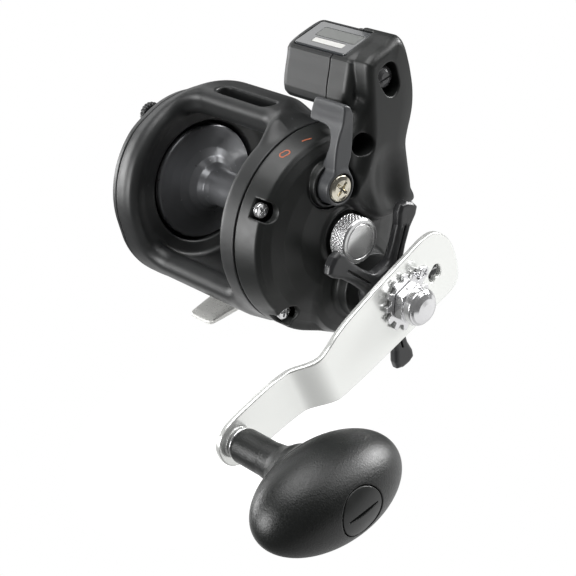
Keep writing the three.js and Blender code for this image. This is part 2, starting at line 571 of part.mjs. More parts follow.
function clutchCam() {
  const outline = [[-5.4, 17.8], [-4, 13.6], [3, 13.6], [4.6, 17.8], [4, 23], [-4.8, 23]].reverse();
  return slab(outline, 65.2, 66.6).subtract(rod(1.6, 64, 68, LEVER_Y, LEVER_Z, 14));
}

// A gear of the train up the column, on its own pin.
function trainGear(tip, root, teeth, x0, y, z, p0, p1) {
  return gear(tip, root, teeth, x0, x0 + 2, y, z, 0).add(rod(1.2, p0, p1, y, z, 12));
}

function lockScrew() {
  const [p, q, a] = [-8.8, -6.1, ARM_DEG * RAD];
  const y = HUB_Y + p * Math.cos(a) - q * Math.sin(a);
  const z = HUB_Z + p * Math.sin(a) + q * Math.cos(a);
  return axialScrew(y, z, 90.4, 96.6, 1.7, 0.8, 2.2);
}

function counterShaft() {
  return rod(1.2, 42.4, 65.6, COUNT_Y, COUNT_Z, 14)
    .add(gear(5.5, 4.8, 17, 61.6, 63.4, COUNT_Y, COUNT_Z, 0));
}

const digitWheel = (x0) => tube(5.3, 1.5, x0, x0 + 4.4, COUNT_Y, COUNT_Z, 22);

// ---------------------------------------------------------------- the assembly
piece('frame', frame(), ...GRAPHITE);
piece('foot', foot(), ...STEEL);
FOOT_SCREWS.forEach(([x, y], i) => {
  piece(`foot_screw_${i + 1}`, footScrew(x, y), ...STEEL);
});
piece('left_side_plate', leftPlate(), ...GRAPHITE);
LEFT_SCREWS.forEach(([y, z], i) => {
  piece(`left_plate_screw_${i + 1}`, axialScrew(y, z, -8.6, -13.9, 1.1), ...STEEL);
});
piece('clicker_button', clickerButton(), ...GRAPHITE);
piece('click_gear', gear(5.2, 4.4, 16, -5.2, -3.6, 0, 0, 2.3), ...BRASS);
piece('click_pawl', clickPawl(), ...STEEL);
piece('left_bearing', tube(5.5, 2.3, -12.6, -9.2, 0, 0, 20), ...STEEL);
piece('spool', spool(), ...SPOOL_METAL);
piece('spool_shaft', rod(2, -12.8, 73.2, 0, 0, 16), ...STEEL);
piece('spool_drive_gear', gear(5.4, 4.6, 16, 60.2, 62.2, 0, 0, 2.3), ...BRASS);
piece('right_bearing', tube(5.8, 2.3, 57.6, 59.8, 0, 0, 20), ...STEEL);
piece('bridge_plate', bridgePlate(), ...STEEL);
piece('pinion_gear', pinion(), ...BRASS);
piece('clutch_yoke', clutchYoke(), ...STEEL);
piece('clutch_cam', clutchCam(), ...STEEL);
piece('main_gear', gear(MAIN_R, 15.5, 55, 62.9, 65.4, HUB_Y, HUB_Z, 3.3), ...BRASS);
piece('drag_washer', tube(12.6, 3.4, 65.7, 66.4, HUB_Y, HUB_Z, 24), ...FIBRE);
piece('drag_pressure_plate', tube(12.4, 3.4, 66.7, 67.8, HUB_Y, HUB_Z, 24), ...STEEL);
piece('anti_reverse_bearing', tube(5.3, 3.3, 70.2, 77.4, HUB_Y, HUB_Z, 20), ...STEEL);
piece('drive_shaft', driveShaft(), ...STEEL);
piece('star_drag', starDrag(), ...BLACK);
piece('shaft_spacer', tube(5.4, 3.3, 87.1, 90.5, HUB_Y, HUB_Z, 18), ...STEEL);
piece('handle_arm', arm(), ...BRIGHT);
piece('handle_lock_plate', lockPlate(), ...BRIGHT);
piece('handle_lock_screw', lockScrew(), ...BRIGHT);
piece('handle_nut', handleNut(), ...BRIGHT);
piece('knob_post', knobPost(), ...STEEL);
piece('knob_washer', tube(5.2, 2.1, 87.3, 88.3, EGG_Y, EGG_Z, 18), ...BRIGHT);
piece('handle_knob', handleKnob(), ...BLACK);
piece('knob_cap', knobCap(), ...BLACK);
piece('cast_control_cap', castCap(), ...BRIGHT);
piece('right_side_plate', sidePlate(), ...GRAPHITE);
SIDE_SCREWS.forEach(([y, z], i) => {
  piece(`side_plate_screw_${i + 1}`, axialScrew(y, z, 58.4, 64.6, 1.7, 1.3, 2.6), ...STEEL);
});
piece('clutch_lever', clutchLever(), ...GRAPHITE);
piece('lever_screw', axialScrew(LEVER_Y, LEVER_Z, 69, 77.3, 1.6, 1.2, 4.2), ...NICKEL);
piece('level_wind_worm', worm(), ...STEEL);
piece('worm_gear', gear(4.0, 3.4, 13, 60.2, 62.2, WORM_Y, WORM_Z, 2.4), ...BRASS);
piece('level_wind_tube', wormTube(), ...STEEL);
piece('line_guide', lineGuide(), ...STEEL);
piece('line_guide_pawl', guidePawl(), ...BRASS);
piece('idler_gear', gear(7.8, 7.1, 24, 60.2, 62.2, 13.48, -3.89, 1.7), ...ACETAL);
piece('counter_gear_low', trainGear(5.5, 4.8, 17, 60.2, 25.3, 3.0, 59.9, 63.6), ...ACETAL);
piece('counter_gear_middle', trainGear(8.6, 7.9, 27, 61.3, 20, 16.3, 61, 66), ...ACETAL);
piece('counter_gear_upper', trainGear(7.6, 6.9, 24, 61.3, 26.7, 31.6, 61, 66), ...ACETAL);
piece('counter_shaft', counterShaft(), ...STEEL);
piece('digit_wheel_hundreds', digitWheel(44.6), ...WHITE);
piece('digit_wheel_tens', digitWheel(49.4), ...WHITE);
piece('digit_wheel_units', digitWheel(54.2), ...WHITE);
piece('counter_reset_knob', gear(5.2, 4.7, 12, 66.2, 75.4, COUNT_Y, COUNT_Z, 0), ...BLACK);
piece('counter_cover', counterCover(), ...GRAPHITE);
piece('counter_lens', lens(), ...LENS);

export default group;
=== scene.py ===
"""Looks of the trolling reel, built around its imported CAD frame.

Shapes are drawn in millimetres about the spool axis (x along the spool towards the crank, y forwards,
z up) as signed distance fields, skinned to meshes, and moved into the frame's metres."""

import bpy
import json
import math
import numpy as np
import openvdb
from mathutils import Matrix, Vector


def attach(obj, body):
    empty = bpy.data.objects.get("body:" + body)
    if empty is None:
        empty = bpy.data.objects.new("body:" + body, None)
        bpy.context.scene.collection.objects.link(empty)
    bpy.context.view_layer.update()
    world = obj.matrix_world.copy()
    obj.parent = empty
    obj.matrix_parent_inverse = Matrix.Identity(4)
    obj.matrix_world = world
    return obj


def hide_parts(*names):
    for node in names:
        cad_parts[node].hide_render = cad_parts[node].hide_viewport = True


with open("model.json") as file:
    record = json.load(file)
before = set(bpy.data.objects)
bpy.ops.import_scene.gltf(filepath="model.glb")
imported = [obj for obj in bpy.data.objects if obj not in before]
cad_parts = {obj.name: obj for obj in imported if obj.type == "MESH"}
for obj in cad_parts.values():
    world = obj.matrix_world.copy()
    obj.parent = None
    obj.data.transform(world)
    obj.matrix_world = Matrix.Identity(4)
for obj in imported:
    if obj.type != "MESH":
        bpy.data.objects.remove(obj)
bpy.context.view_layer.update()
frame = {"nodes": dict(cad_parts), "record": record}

# ---------------------------------------------------------------- driving dimensions, mm
ORIGIN = np.array([20.2, 2.0, -35.7])      # middle of the foot's underside
RING_R, RING_R_RIGHT = 34.3, 35.2
BASE_Y, BASE_Z = 20.6, -33.2               # half width and height of the rings' flat base
RIGHT_BASE_Y = 17.4
LEFT_END_X, SEAM_X = -8.0, 57.6            # end faces of the frame
PLATE_X, RIM_TAPER = 57.9, 0.27            # the right plate's face, and how its rim draws in with x
HUB_Y, HUB_Z = 2.5, -20.5                  # crank axis
LEVER_Y, LEVER_Z = -0.5, 19.6
WORM_Y, WORM_Z = 26.0, -7.5
COUNT_Y, COUNT_Z = 28.0, 45.0
ARM, ARM_DEG = 72.9, 189.2                 # crank length, and where it points at rest
STAR_DEG, STAR_ARMS = 56.8, 5
SIDE_SCREWS = [(-23.6, 20.6), (-25.2, -18.4), (30.2, -11.0)]
LEFT_SCREWS = [(24.2, 13.6), (-25.4, -10.4)]
CLICK_Y, CLICK_Z, CLICK_DEG = -3.7, 25.6, 13.48   # the clicker, and which way it slides
KNOB_LEAN, KNOB_MID_X = -7.5, 126.5
LENS_X, LENS_Y, LENS_Z, LENS_TILT = 53.8, 28.3, 54.7, 4.0
# strips in the lens: x, how far forward of the lens middle, half length, half width
FACE_STRIP = (55.2, 1.6, 9.2, 2.5)
DIGIT_STRIP = (54.6, -3.2, 7.2, 1.25)
# outlines in y and z: the counter's column, the room inside it, and the counter's case
COLUMN = [
    (29.2, -2.5), (29.9, 3), (30.4, 9), (30.7, 13.2), (31.4, 19.3), (33.5, 23.6), (35.5, 26.8), (37.5, 31),
    (38.8, 36.2), (39.2, 42), (39.1, 46.5), (38.7, 50.6), (37.6, 53.8), (35.2, 55.4), (27, 55), (22.6, 53.9),
    (20.6, 51.6), (18.6, 41), (15.6, 28.4), (10, 20), (4, 14), (12, 0)]
COLUMN_IN = [
    (27.4, 4), (28.2, 13), (29, 18.8), (31.2, 23.8), (33, 27.2), (35.2, 31.6), (36.4, 36.4), (36.8, 42),
    (36.7, 46.4), (36.3, 50), (35.2, 51.6), (33.6, 52), (27, 51.6), (24.6, 50.8), (23.2, 49.4),
    (21, 40.4), (17.9, 27.6), (13.5, 20), (14, 6)]
CASE = [
    (15, 37.4), (37.8, 37.0), (39.1, 41), (39.1, 47), (38.7, 50.6), (37.6, 53.8), (35.2, 55.4), (28, 55.2),
    (22.4, 54.4), (20.2, 53.3), (19.1, 51.6)]


def on_arm(along, across=0.0):
    """The (y, z) of a point on the crank arm, measured from its hub."""
    a = math.radians(ARM_DEG)
    return (HUB_Y + along * math.cos(a) - across * math.sin(a),
            HUB_Z + along * math.sin(a) + across * math.cos(a))


def rim_radius(x):
    return RING_R_RIGHT - (x - PLATE_X) * RIM_TAPER


EGG_Y, EGG_Z = on_arm(ARM)                 # axis of the crank's knob


# ---------------------------------------------------------------- signed distance helpers
class Field:
    """A block of space sampled every step mm. Shapes are arrays of signed distance on it."""

    def __init__(self, lo, hi, step):
        self.lo, self.step = np.array(lo, float), step
        axes = []
        for a, b in zip(lo, hi):
            axes.append((a + step * np.arange(int(math.ceil((b - a) / step)) + 1)).astype(np.float32))
        self.x = axes[0][:, None, None]
        self.y = axes[1][None, :, None]
        self.z = axes[2][None, None, :]

    def rho(self, cy=0.0, cz=0.0):
        return np.hypot(self.y - cy, self.z - cz)


def poly(u, v, pts):
    """Signed distance to a closed polygon in the plane of u and v."""
    shape = np.broadcast(u, v).shape
    best = np.full(shape, 1e9, np.float32)
    sign = np.ones(shape, np.float32)
    for i in range(len(pts)):
        (au, av), (bu, bv) = pts[i], pts[i - 1]
        eu, ev = bu - au, bv - av
        size = eu * eu + ev * ev
        if size < 1e-12:
            continue
        wu, wv = u - au, v - av
        t = np.clip((wu * eu + wv * ev) / size, 0, 1)
        best = np.minimum(best, (wu - eu * t) ** 2 + (wv - ev * t) ** 2)
        up, down, side = v >= av, v < bv, eu * wv > ev * wu
        sign = np.where((up & down & side) | (~up & ~down & ~side), -sign, sign)
    return sign * np.sqrt(best)


def curved(pts, n=8):
    """A closed Catmull-Rom curve through the points."""
    p = [np.array(q, float) for q in pts]
    out = []
    for i in range(len(p)):
        a, b, c, d = p[i - 1], p[i], p[(i + 1) % len(p)], p[(i + 2) % len(p)]
        for k in range(n):
            t = k / n
            out.append(tuple(0.5 * (2 * b + (c - a) * t + (2 * a - 5 * b + 4 * c - d) * t * t
                                    + (3 * b - a - 3 * c + d) * t ** 3)))
    return out


def arc(cy, cz, r, a0, a1, n):
    out = []
    for i in range(n + 1):
        a = math.radians(a0 + (a1 - a0) * i / n)
        out.append((cy + r * math.cos(a), cz + r * math.sin(a)))
    return out


def hull(points):
    p = sorted(points)

    def half(seq):
        h = []
        for q in seq:
            while len(h) > 1 and ((h[-1][0] - h[-2][0]) * (q[1] - h[-2][1])
                                  - (h[-1][1] - h[-2][1]) * (q[0] - h[-2][0])) <= 1e-9:
                h.pop()
            h.append(q)
        return h[:-1]
    return half(p) + half(p[::-1])


def join(a, b, r=0.0):
    """Where both a and b are inside, with the edge between them rounded by r."""
    if r <= 0:
        return np.maximum(a, b)
    qa, qb = np.maximum(a + r, 0), np.maximum(b + r, 0)
    return np.minimum(np.maximum(a + r, b + r), 0) + np.hypot(qa, qb) - r


def fuse(a, b, k=0.0):
    """Union with a fillet of about k."""
    if k <= 0:
        return np.minimum(a, b)
    h = np.maximum(k - np.abs(a - b), 0) / k
    return np.minimum(a, b) - h * h * k * 0.25


def dig(a, b, k):
    """a with b taken away and a soft edge of about k."""
    return -fuse(-a, b, k)


def span(v, v0, v1):
    return np.abs(v - (v0 + v1) / 2) - (v1 - v0) / 2


def box2(u, v, hu, hv, r):
    """A rectangle of half sizes hu and hv with corners of radius r."""
    qu, qv = np.abs(u) - hu + r, np.abs(v) - hv + r
    return np.hypot(np.maximum(qu, 0), np.maximum(qv, 0)) + np.minimum(np.maximum(qu, qv), 0) - r


def turned(f, cy, cz, deg):
    """Coordinates about (cy, cz): along a direction deg from y towards z, and across it."""
    a = math.radians(deg)
    y, z = f.y - cy, f.z - cz
    return y * math.cos(a) + z * math.sin(a), -y * math.sin(a) + z * math.cos(a)


def lathe(f, profile, cy=0.0, cz=0.0):
    """A profile of (radius, x) points turned about the line along x through (cy, cz)."""
    rho = f.rho(cy, cz)
    beyond_axis = -60.0
    pts = [(x, r if r > 0 else beyond_axis) for r, x in profile]
    s = f.step * 0.5
    top = float(rho.max()) + 2 * s
    table = poly(f.x[:, :, 0], (s * np.arange(int(top / s) + 2)).astype(np.float32)[None, :], pts)
    at = rho[0] / s
    low = at.astype(np.int32)
    part = (at - low).astype(np.float32)
    return table[:, low] * (1 - part) + table[:, low + 1] * part


def rod(f, r, x0, x1, cy=0.0, cz=0.0, edge=0.0):
    return join(f.rho(cy, cz) - r, span(f.x, x0, x1), edge)


def smooth(t):
    t = np.clip(t, 0, 1)
    return t * t * (3 - 2 * t)


def ball(f, c, radii):
    """Close to the distance to an ellipsoid."""
    q = [(v - o) / r for v, o, r in zip((f.x, f.y, f.z), c, radii)]
    k0 = np.sqrt(q[0] ** 2 + q[1] ** 2 + q[2] ** 2)
    k1 = np.sqrt((q[0] / radii[0]) ** 2 + (q[1] / radii[1]) ** 2 + (q[2] / radii[2]) ** 2)
    return k0 * (k0 - 1) / np.maximum(k1, 1e-6)


# ---------------------------------------------------------------- skins
def sample(d, p):
    """d between its samples, at positions p counted in samples."""
    i = np.clip(np.floor(p).astype(np.int64), 0, np.array(d.shape) - 2)
    w = p - i
    out = 0
    for a in (0, 1):
        for b in (0, 1):
            for c in (0, 1):
                share = (w[:, 0] if a else 1 - w[:, 0]) * (w[:, 1] if b else 1 - w[:, 1]) \
                    * (w[:, 2] if c else 1 - w[:, 2])
                out = out + share * d[i[:, 0] + a, i[:, 1] + b, i[:, 2] + c]
    return out


def slope(d, p):
    """The gradient of d at p, and its length."""
    g, reach = [], 0.6
    for k in range(3):
        o = np.zeros(3)
        o[k] = reach
        g.append((sample(d, p + o) - sample(d, p - o)) / (2 * reach))
    g = np.stack(g, 1)
    size = np.linalg.norm(g, axis=1, keepdims=True)
    return g, size


def skin(name, f, d, turn=None):
    """Meshes where d is below 0. turn is a (degrees, y, z) rotation about a line along x, done last."""
    shape = (f.x.shape[0], f.y.shape[1], f.z.shape[2])
    band = 4 * f.step
    d = np.clip(np.broadcast_to(d, shape), -band, band).astype(np.float32)
    d = np.ascontiguousarray(d)
    d[0], d[-1], d[:, 0], d[:, -1], d[:, :, 0], d[:, :, -1] = band, band, band, band, band, band
    grid = openvdb.FloatGrid(band)
    grid.copyFromArray(d)
    pts, tris, quads = grid.convertToPolygons(0.0, 0.0)
    pts = pts.astype(float)
    # two steps along the slope bring every point onto the surface
    for _ in range(2):
        g, size = slope(d, pts)
        move = sample(d, pts)[:, None] * g / np.maximum(size, 0.05 * f.step) ** 2
        pts -= np.clip(move, -0.4, 0.4)
    g, size = slope(d, pts)
    normal = g / np.maximum(size, 1e-9)
    pts = f.lo + f.step * pts
    if turn:
        a = math.radians(turn[0])
        m = np.array([[1, 0, 0], [0, math.cos(a), -math.sin(a)], [0, math.sin(a), math.cos(a)]])
        pts = pts @ m.T + np.array([0, turn[1], turn[2]])
        normal = normal @ m.T
    pts = (pts - ORIGIN) / 1000
    loops = np.concatenate([tris.reshape(-1), quads.reshape(-1)]).astype(np.int32)
    sizes = np.concatenate([np.full(len(tris), 3), np.full(len(quads), 4)]).astype(np.int32)
    start = np.concatenate([[0], np.cumsum(sizes)[:-1]]).astype(np.int32)
    # turn every face to agree with the field's outward slope
    first = np.stack([pts[loops[start]], pts[loops[start + 1]], pts[loops[start + 2]]], 1)
    facing = np.cross(first[:, 1] - first[:, 0], first[:, 2] - first[:, 0])
    if (np.einsum("ij,ij->i", facing, normal[loops[start]]) < 0).mean() > 0.5:
        for n in (3, 4):
            rows = start[sizes == n][:, None] + np.arange(n)[None, :]
            loops[rows] = loops[rows][:, ::-1]
    me = bpy.data.meshes.new(name)
    me.vertices.add(len(pts))
    me.vertices.foreach_set("co", pts.astype(np.float32).reshape(-1))
    me.loops.add(len(loops))
    me.loops.foreach_set("vertex_index", loops)
    me.polygons.add(len(sizes))
    me.polygons.foreach_set("loop_start", start)
    me.polygons.foreach_set("use_smooth", np.ones(len(sizes), bool))
    me.update(calc_edges=True)
    me.validate()
    me.normals_split_custom_set_from_vertices(normal.astype(np.float32))
    ob = bpy.data.objects.new(name, me)
    bpy.context.scene.collection.objects.link(ob)
    print("piece", name, len(sizes))
    return ob


# ---------------------------------------------------------------- outlines shared by rings and plates
def ring_outline(r, base=BASE_Y):
    """A round ring with a flat base; the left one also bellies out a little low at the rear."""
    low = arc(-4.9, -6.4, r - 5.1, 0, 358, 180) if base == BASE_Y else []
    return hull(arc(0, 0, r, -42, 222, 220) + low + [
        (-base, BASE_Z + 1.5), (-base + 1.5, BASE_Z), (base - 1.5, BASE_Z), (base, BASE_Z + 1.5)])


def plate_outline(r, c):
    return hull(arc(0, 0, r, 0, 358.5, 240) + arc(HUB_Y, HUB_Z, c, 0, 358, 180))


def drawn_in(f):
    """How far the left end draws in towards its seam: most at the top, nothing at the base."""
    deg = np.degrees(np.arctan2(f.z, f.y))
    turn = (deg + 90) % 360
    side = smooth((turn - 100) / 30) * smooth((300 - turn) / 95)
    top = smooth((deg - 45) / 20) * smooth((125 - deg) / 20)
    return (1.15 + 0.8 * top) * side * smooth((-2 - f.x) / 6)


# ---------------------------------------------------------------- frame
def frame_piece():
    f = Field((-8.4, -36.4, -34.4), (58.0, 36.4, 39.2), 0.4)
    rho = f.rho()
    deg = np.degrees(np.arctan2(f.z, f.y))
    blend = smooth((f.x - 45.5) / 7)
    outer = (poly(f.y, f.z, ring_outline(RING_R)) * (1 - blend)
             + poly(f.y, f.z, ring_outline(RING_R_RIGHT, RIGHT_BASE_Y)) * blend)
    # the top bar swells into a crowned pad; the left end draws in a little towards its seam
    fall = 29.5 + np.clip((deg - 50) * 0.55, 0, 22)
    pad = smooth((deg - 33) / 15) * smooth((107 - deg) / 18) * smooth((f.x + 6.3) / 12.6)
    pad = pad * (1 - smooth((f.x - fall) / (np.minimum(fall + 16, 57.6) - fall)))
    outer = outer - 3.9 * pad + drawn_in(f)
    d = np.maximum(outer, 28.0 - rho)
    # openings between the rings: rear, front top and front, by degrees round, with the softness of each edge
    x0, x1, wall_r = 1.2, 49.6, 31
    for a0, a1, corner, edge in ((88.0, 204.5, 8.5, 3.9), (32.5, 41.5, 3, 1.5), (-54.0, 25.0, 6, 2.6)):
        s = ((deg - (a0 + a1) / 2 + 180) % 360 - 180) * math.radians(wall_r)
        half = math.radians((a1 - a0) / 2) * wall_r
        d = join(d, -box2(f.x - (x0 + x1) / 2, s, (x1 - x0) / 2, half, corner), edge)
    face = f.x - 1.5 + 0.16 * np.clip(33 - rho, 0, 12)
    left = join(join(outer, face, 5.2), 22.2 - rho, 0.9)
    web = lathe(f, [(22, -5.2), (22, -3.4), (25.6, -0.8), (31, -0.8), (31, -8.4), (28, -8.4), (28, -5.6)])
    right = join(join(outer, 22.0 - rho, 1.2), span(f.x, 50.4, 66), 1.6)
    d = fuse(fuse(d, left, 2.0), web, 1.0)
    d = fuse(d, right, 2.5)
    pillar = np.hypot(f.y - 27, f.z - 14.5) - 2.9
    d = fuse(d, np.maximum(pillar, span(f.x, -4, 55)), 2.0)
    # outer skin and end faces
    d = join(d, outer, 0.8)
    d = join(d, span(f.x, LEFT_END_X, SEAM_X), 0.35)
    # the opening in the top pad
    s = (deg - 77.5) * math.radians(37.6)
    slot = box2(f.x - 26.3, s, 14.0, 3.2, 3.0)
    d = join(d, -np.maximum(slot, 24 - rho), 0.9)
    # the worm's hole, in the right ring alone
    worm_hole = 3.4 - f.rho(WORM_Y, WORM_Z)
    d = np.maximum(d, worm_hole - 100 * (f.x < 50))
    return skin("frame_body", f, d)


def left_plate_piece():
    f = Field((-16.0, -36.4, -34.4), (-7.9, 36.4, 36.4), 0.35)
    outline = poly(f.y, f.z, ring_outline(RING_R)) + drawn_in(f) + 0.24 * (-8.3 - f.x)
    d = join(outline, span(f.x, -11.7, -5), 1.6)
    d = join(d, f.x + 8.3, 0.25)
    dome = lathe(f, [(0, -15.2), (12, -15.15), (18, -14.9), (24, -14.1), (28.6, -12.9), (30.6, -11.4),
                     (31, -10), (0, -10)])
    d = fuse(d, dome, 1.6)
    d = dig(d, np.maximum(np.abs(f.rho() - 22.5) - 0.35, f.x + 14.1), 0.5)
    pocket = lathe(f, [(0, -13.2), (17, -13.0), (25.8, -11.4), (28.6, -10), (28.6, -6), (0, -6)])
    d = np.maximum(d, -pocket)
    d = np.minimum(d, np.maximum(np.abs(f.rho() - 6.7) - 0.9, span(f.x, -13.4, -8)))
    for y, z in LEFT_SCREWS:
        d = np.minimum(d, rod(f, 3.4, -12.9, -8.3, y, z))
        d = join(d, -rod(f, 3.1, -17, -12.4, y, z), 0.3)
        d = np.maximum(d, -rod(f, 1.7, -17, -6, y, z))
    # the slot that the clicker slides 3 mm along
    u, v = turned(f, CLICK_Y, CLICK_Z, CLICK_DEG)
    lane = np.maximum(box2(u - 1.5, v, 3.4, 1.9, 1.9), span(f.x, -18, -6))
    d = join(d, -lane, 0.3)
    return skin("left_side_plate_skin", f, d)


# ---------------------------------------------------------------- right side
def lens_seat(f, grow=0.0):
    """The lens's outline grown by this much, and the height above the lens's tilted plane."""
    u, v = turned(f, LENS_Y, LENS_Z, LENS_TILT)
    return box2(f.x - LENS_X, u, 12.1 + grow, 6.9 + grow, 1.1 + grow), v


def lens_strip(f, x, at, long, wide):
    """A lying strip's outline on the lens, at this far forward of the lens middle."""
    u, _ = turned(f, LENS_Y, LENS_Z, LENS_TILT)
    return box2(f.x - x, u - at, long, wide, 0.4)


def dig_lens_well(f, d, grow):
    """d with the shallow well that the lens lies in."""
    plan, v = lens_seat(f, grow)
    return join(d, -np.maximum(plan, -1.1 - v), 0.2)


def side_plate_piece():
    f = Field((57.6, -36.6, -41.0), (77.4, 40.7, 56.4), 0.34)
    deg = np.degrees(np.arctan2(f.z, f.y))
    low = smooth((deg + 155) / 14) * smooth((-62 - deg) / 26)
    taper = (f.x - PLATE_X) * RIM_TAPER * (1 - low)
    d = join(poly(f.y, f.z, plate_outline(RING_R_RIGHT, 19.6)) + taper, span(f.x, PLATE_X, 66.4), 0.9)
    dome = lathe(f, [(0, 66.0), (32.2, 66.0), (31.6, 66.9), (28.5, 68.5), (24, 70.0), (18, 71.3), (11, 72.1),
                     (0, 72.4)])
    d = fuse(d, dome, 0.9)
    gear_case = lathe(f, [(0, 62), (19.6, 62), (19.6, 67.4), (18.7, 69.6), (16.5, 71.2), (13.6, 72.2),
                          (0, 72.8)], HUB_Y, HUB_Z)
    d = fuse(d, gear_case, 1.4)
    # the column that carries the counter, whose face rolls over towards its front edge, and the counter's half
    shape = poly(f.y, f.z, curved(COLUMN))
    near = 1 - np.clip(-shape / 7.0, 0, 1)
    front = smooth((f.y - 20 - 0.18 * f.z) / 5)
    roll = 0.9 * near ** 2 * front
    shape = shape - 0.8 * front
    col = join(shape, span(f.x, 50, 77.0 - roll), 2.8)
    inner = join(poly(f.y, f.z, curved(CASE, 6)), span(f.x, 50, 70.4), 2.8)
    d = fuse(d, np.maximum(fuse(col, inner, 0.8), 60.7 - f.x), 5.0)
    apron = poly(f.y, f.z, curved([(6.4, 23), (9.6, 31.2), (13.5, 34.5), (18.5, 40), (26, 34), (26, 6), (14, 6),
                                   (7, 13)]))
    d = fuse(d, join(apron, span(f.x, 62, 74.4), 2.6), 3.0)
    # a dished hollow at the column's foot, then the bosses of the drive, the lever and the cast control
    d = dig(d, ball(f, (80.5, 20.6, 10.8), (6.2, 6.0, 10.8)), 4.5)
    d = fuse(d, rod(f, 11.5, 66, 78.0, HUB_Y, HUB_Z, 0.9), 1.6)
    d = fuse(d, rod(f, 6.3, 62, 70.2, LEVER_Y, LEVER_Z, 0.6), 1.2)
    d = fuse(d, rod(f, 9.9, 66, 73.2, 0, 0, 0.9), 1.2)
    d = join(d, -rod(f, 8.5, 71.2, 90), 0.5)
    d = join(d, -rod(f, 8.2, 70.2, 90, LEVER_Y, LEVER_Z), 0.5)
    seat = np.maximum(rod(f, 7.5, 67, 72.3, LEVER_Y, LEVER_Z, 0.4), 6.5 - f.rho(LEVER_Y, LEVER_Z))
    d = np.minimum(d, seat)
    # the reset dial's opening, a round dimple, and the open wells of the rim screws
    opening = poly(f.y, f.z, curved([(31.6, 48.9), (28.2, 50.2), (24.4, 48.4), (24.2, 44.9), (26.0, 40.0),
                                     (29.0, 38.4), (31.8, 40.6), (32.2, 44.8)]))
    d = join(d, -np.maximum(opening, span(f.x, 70.5, 90)), 0.5)
    d = join(d, -rod(f, 3.7, 67.5, 90, 13.4, 27.9), 0.5)
    for y, z in SIDE_SCREWS:
        u, v = turned(f, y, z, math.degrees(math.atan2(z, y)))
        lane = box2(np.minimum(u, 0), v, 3.3, 3.3, 3.3)
        d = join(d, -np.maximum(lane, 62.2 - f.x), 0.35)
    d = dig_lens_well(f, d, 0.25)
    # hollow for the gears
    hollow = np.maximum(poly(f.y, f.z, plate_outline(31.4, 16.2)), span(f.x, 50, 65.6))
    hollow = np.minimum(hollow, np.maximum(poly(f.y, f.z, COLUMN_IN), span(f.x, 50, 69.5)))
    hollow = np.minimum(hollow, rod(f, 9.6, 50, 66.5, 20, 16.3))
    d = np.maximum(d, -hollow)
    for r, y, z in ((5.2, 0, 0), (5.6, HUB_Y, HUB_Z), (2.6, LEVER_Y, LEVER_Z)):
        d = np.maximum(d, -rod(f, r, 60, 90, y, z))
    d = np.maximum(d, PLATE_X - f.x)
    return skin("right_side_plate_skin", f, d)


def mark_piece(name, x, deg, ring):
    """A printed mark on the rim, raised a tenth: a ring or a bar, 3.4 mm long and leaning a little."""
    a, reach = math.radians(deg), 3.2
    r = rim_radius(x)
    y, z = r * math.cos(a), r * math.sin(a)
    f = Field((x - reach, y - reach, z - reach), (x + reach, y + reach, z + reach), 0.09)
    s = (np.arctan2(f.z, f.y) - a) * r
    lean, run = 0.34, 0.94
    u, v = lean * (f.x - x) - run * s, run * (f.x - x) + lean * s
    if ring:
        plan = np.abs(box2(u, v, 1.7, 0.9, 0.85)) - 0.22
    else:
        plan = box2(u, v, 1.7, 0.24, 0.2)
    lift = f.rho() - rim_radius(f.x)
    return skin(name, f, join(plan, np.abs(lift) - 0.11, 0.05))


def cover_piece():
    f = Field((37.2, 3.0, -4.0), (60.7, 40.5, 56.6), 0.3)
    shape = poly(f.y, f.z, curved(CASE, 6))
    d = join(shape, span(f.x, 37.6, 80), 4.2)
    skirt = np.maximum(poly(f.y, f.z, curved(COLUMN)), span(f.x, 58.6, 66))
    skirt = np.maximum(skirt, 35.9 - f.rho())
    d = fuse(d, skirt, 1.0)
    d = join(d, f.x - 60.4, 0.25)
    d = np.maximum(d, -np.maximum(shape + 2.0, span(f.x, 40.9, 70)))
    return skin("counter_cover_skin", f, dig_lens_well(f, d, 0.35))


def lens_piece():
    f = Field((41.2, 20.6, 51.8), (66.4, 36.0, 56.8), 0.12)
    plan, v = lens_seat(f)
    d = join(plan, np.abs(v + 0.35) - 0.55, 0.3)
    for strip in (FACE_STRIP, DIGIT_STRIP):
        d = join(d, -np.maximum(lens_strip(f, *strip), 0.0 - v), 0.1)
    return skin("counter_lens_skin", f, d)


def strip_piece(name, strip):
    """A thin strip lying in its recess in the lens."""
    (x, at, long, wide), gap = strip, 0.08
    f = Field((x - long - 0.4, 20.6, 52.4), (x + long + 0.4, 36.0, 57.0), 0.1)
    _, v = lens_seat(f)
    return skin(name, f, join(lens_strip(f, x, at, long - gap, wide - gap), np.abs(v - 0.14) - 0.09, 0.05))


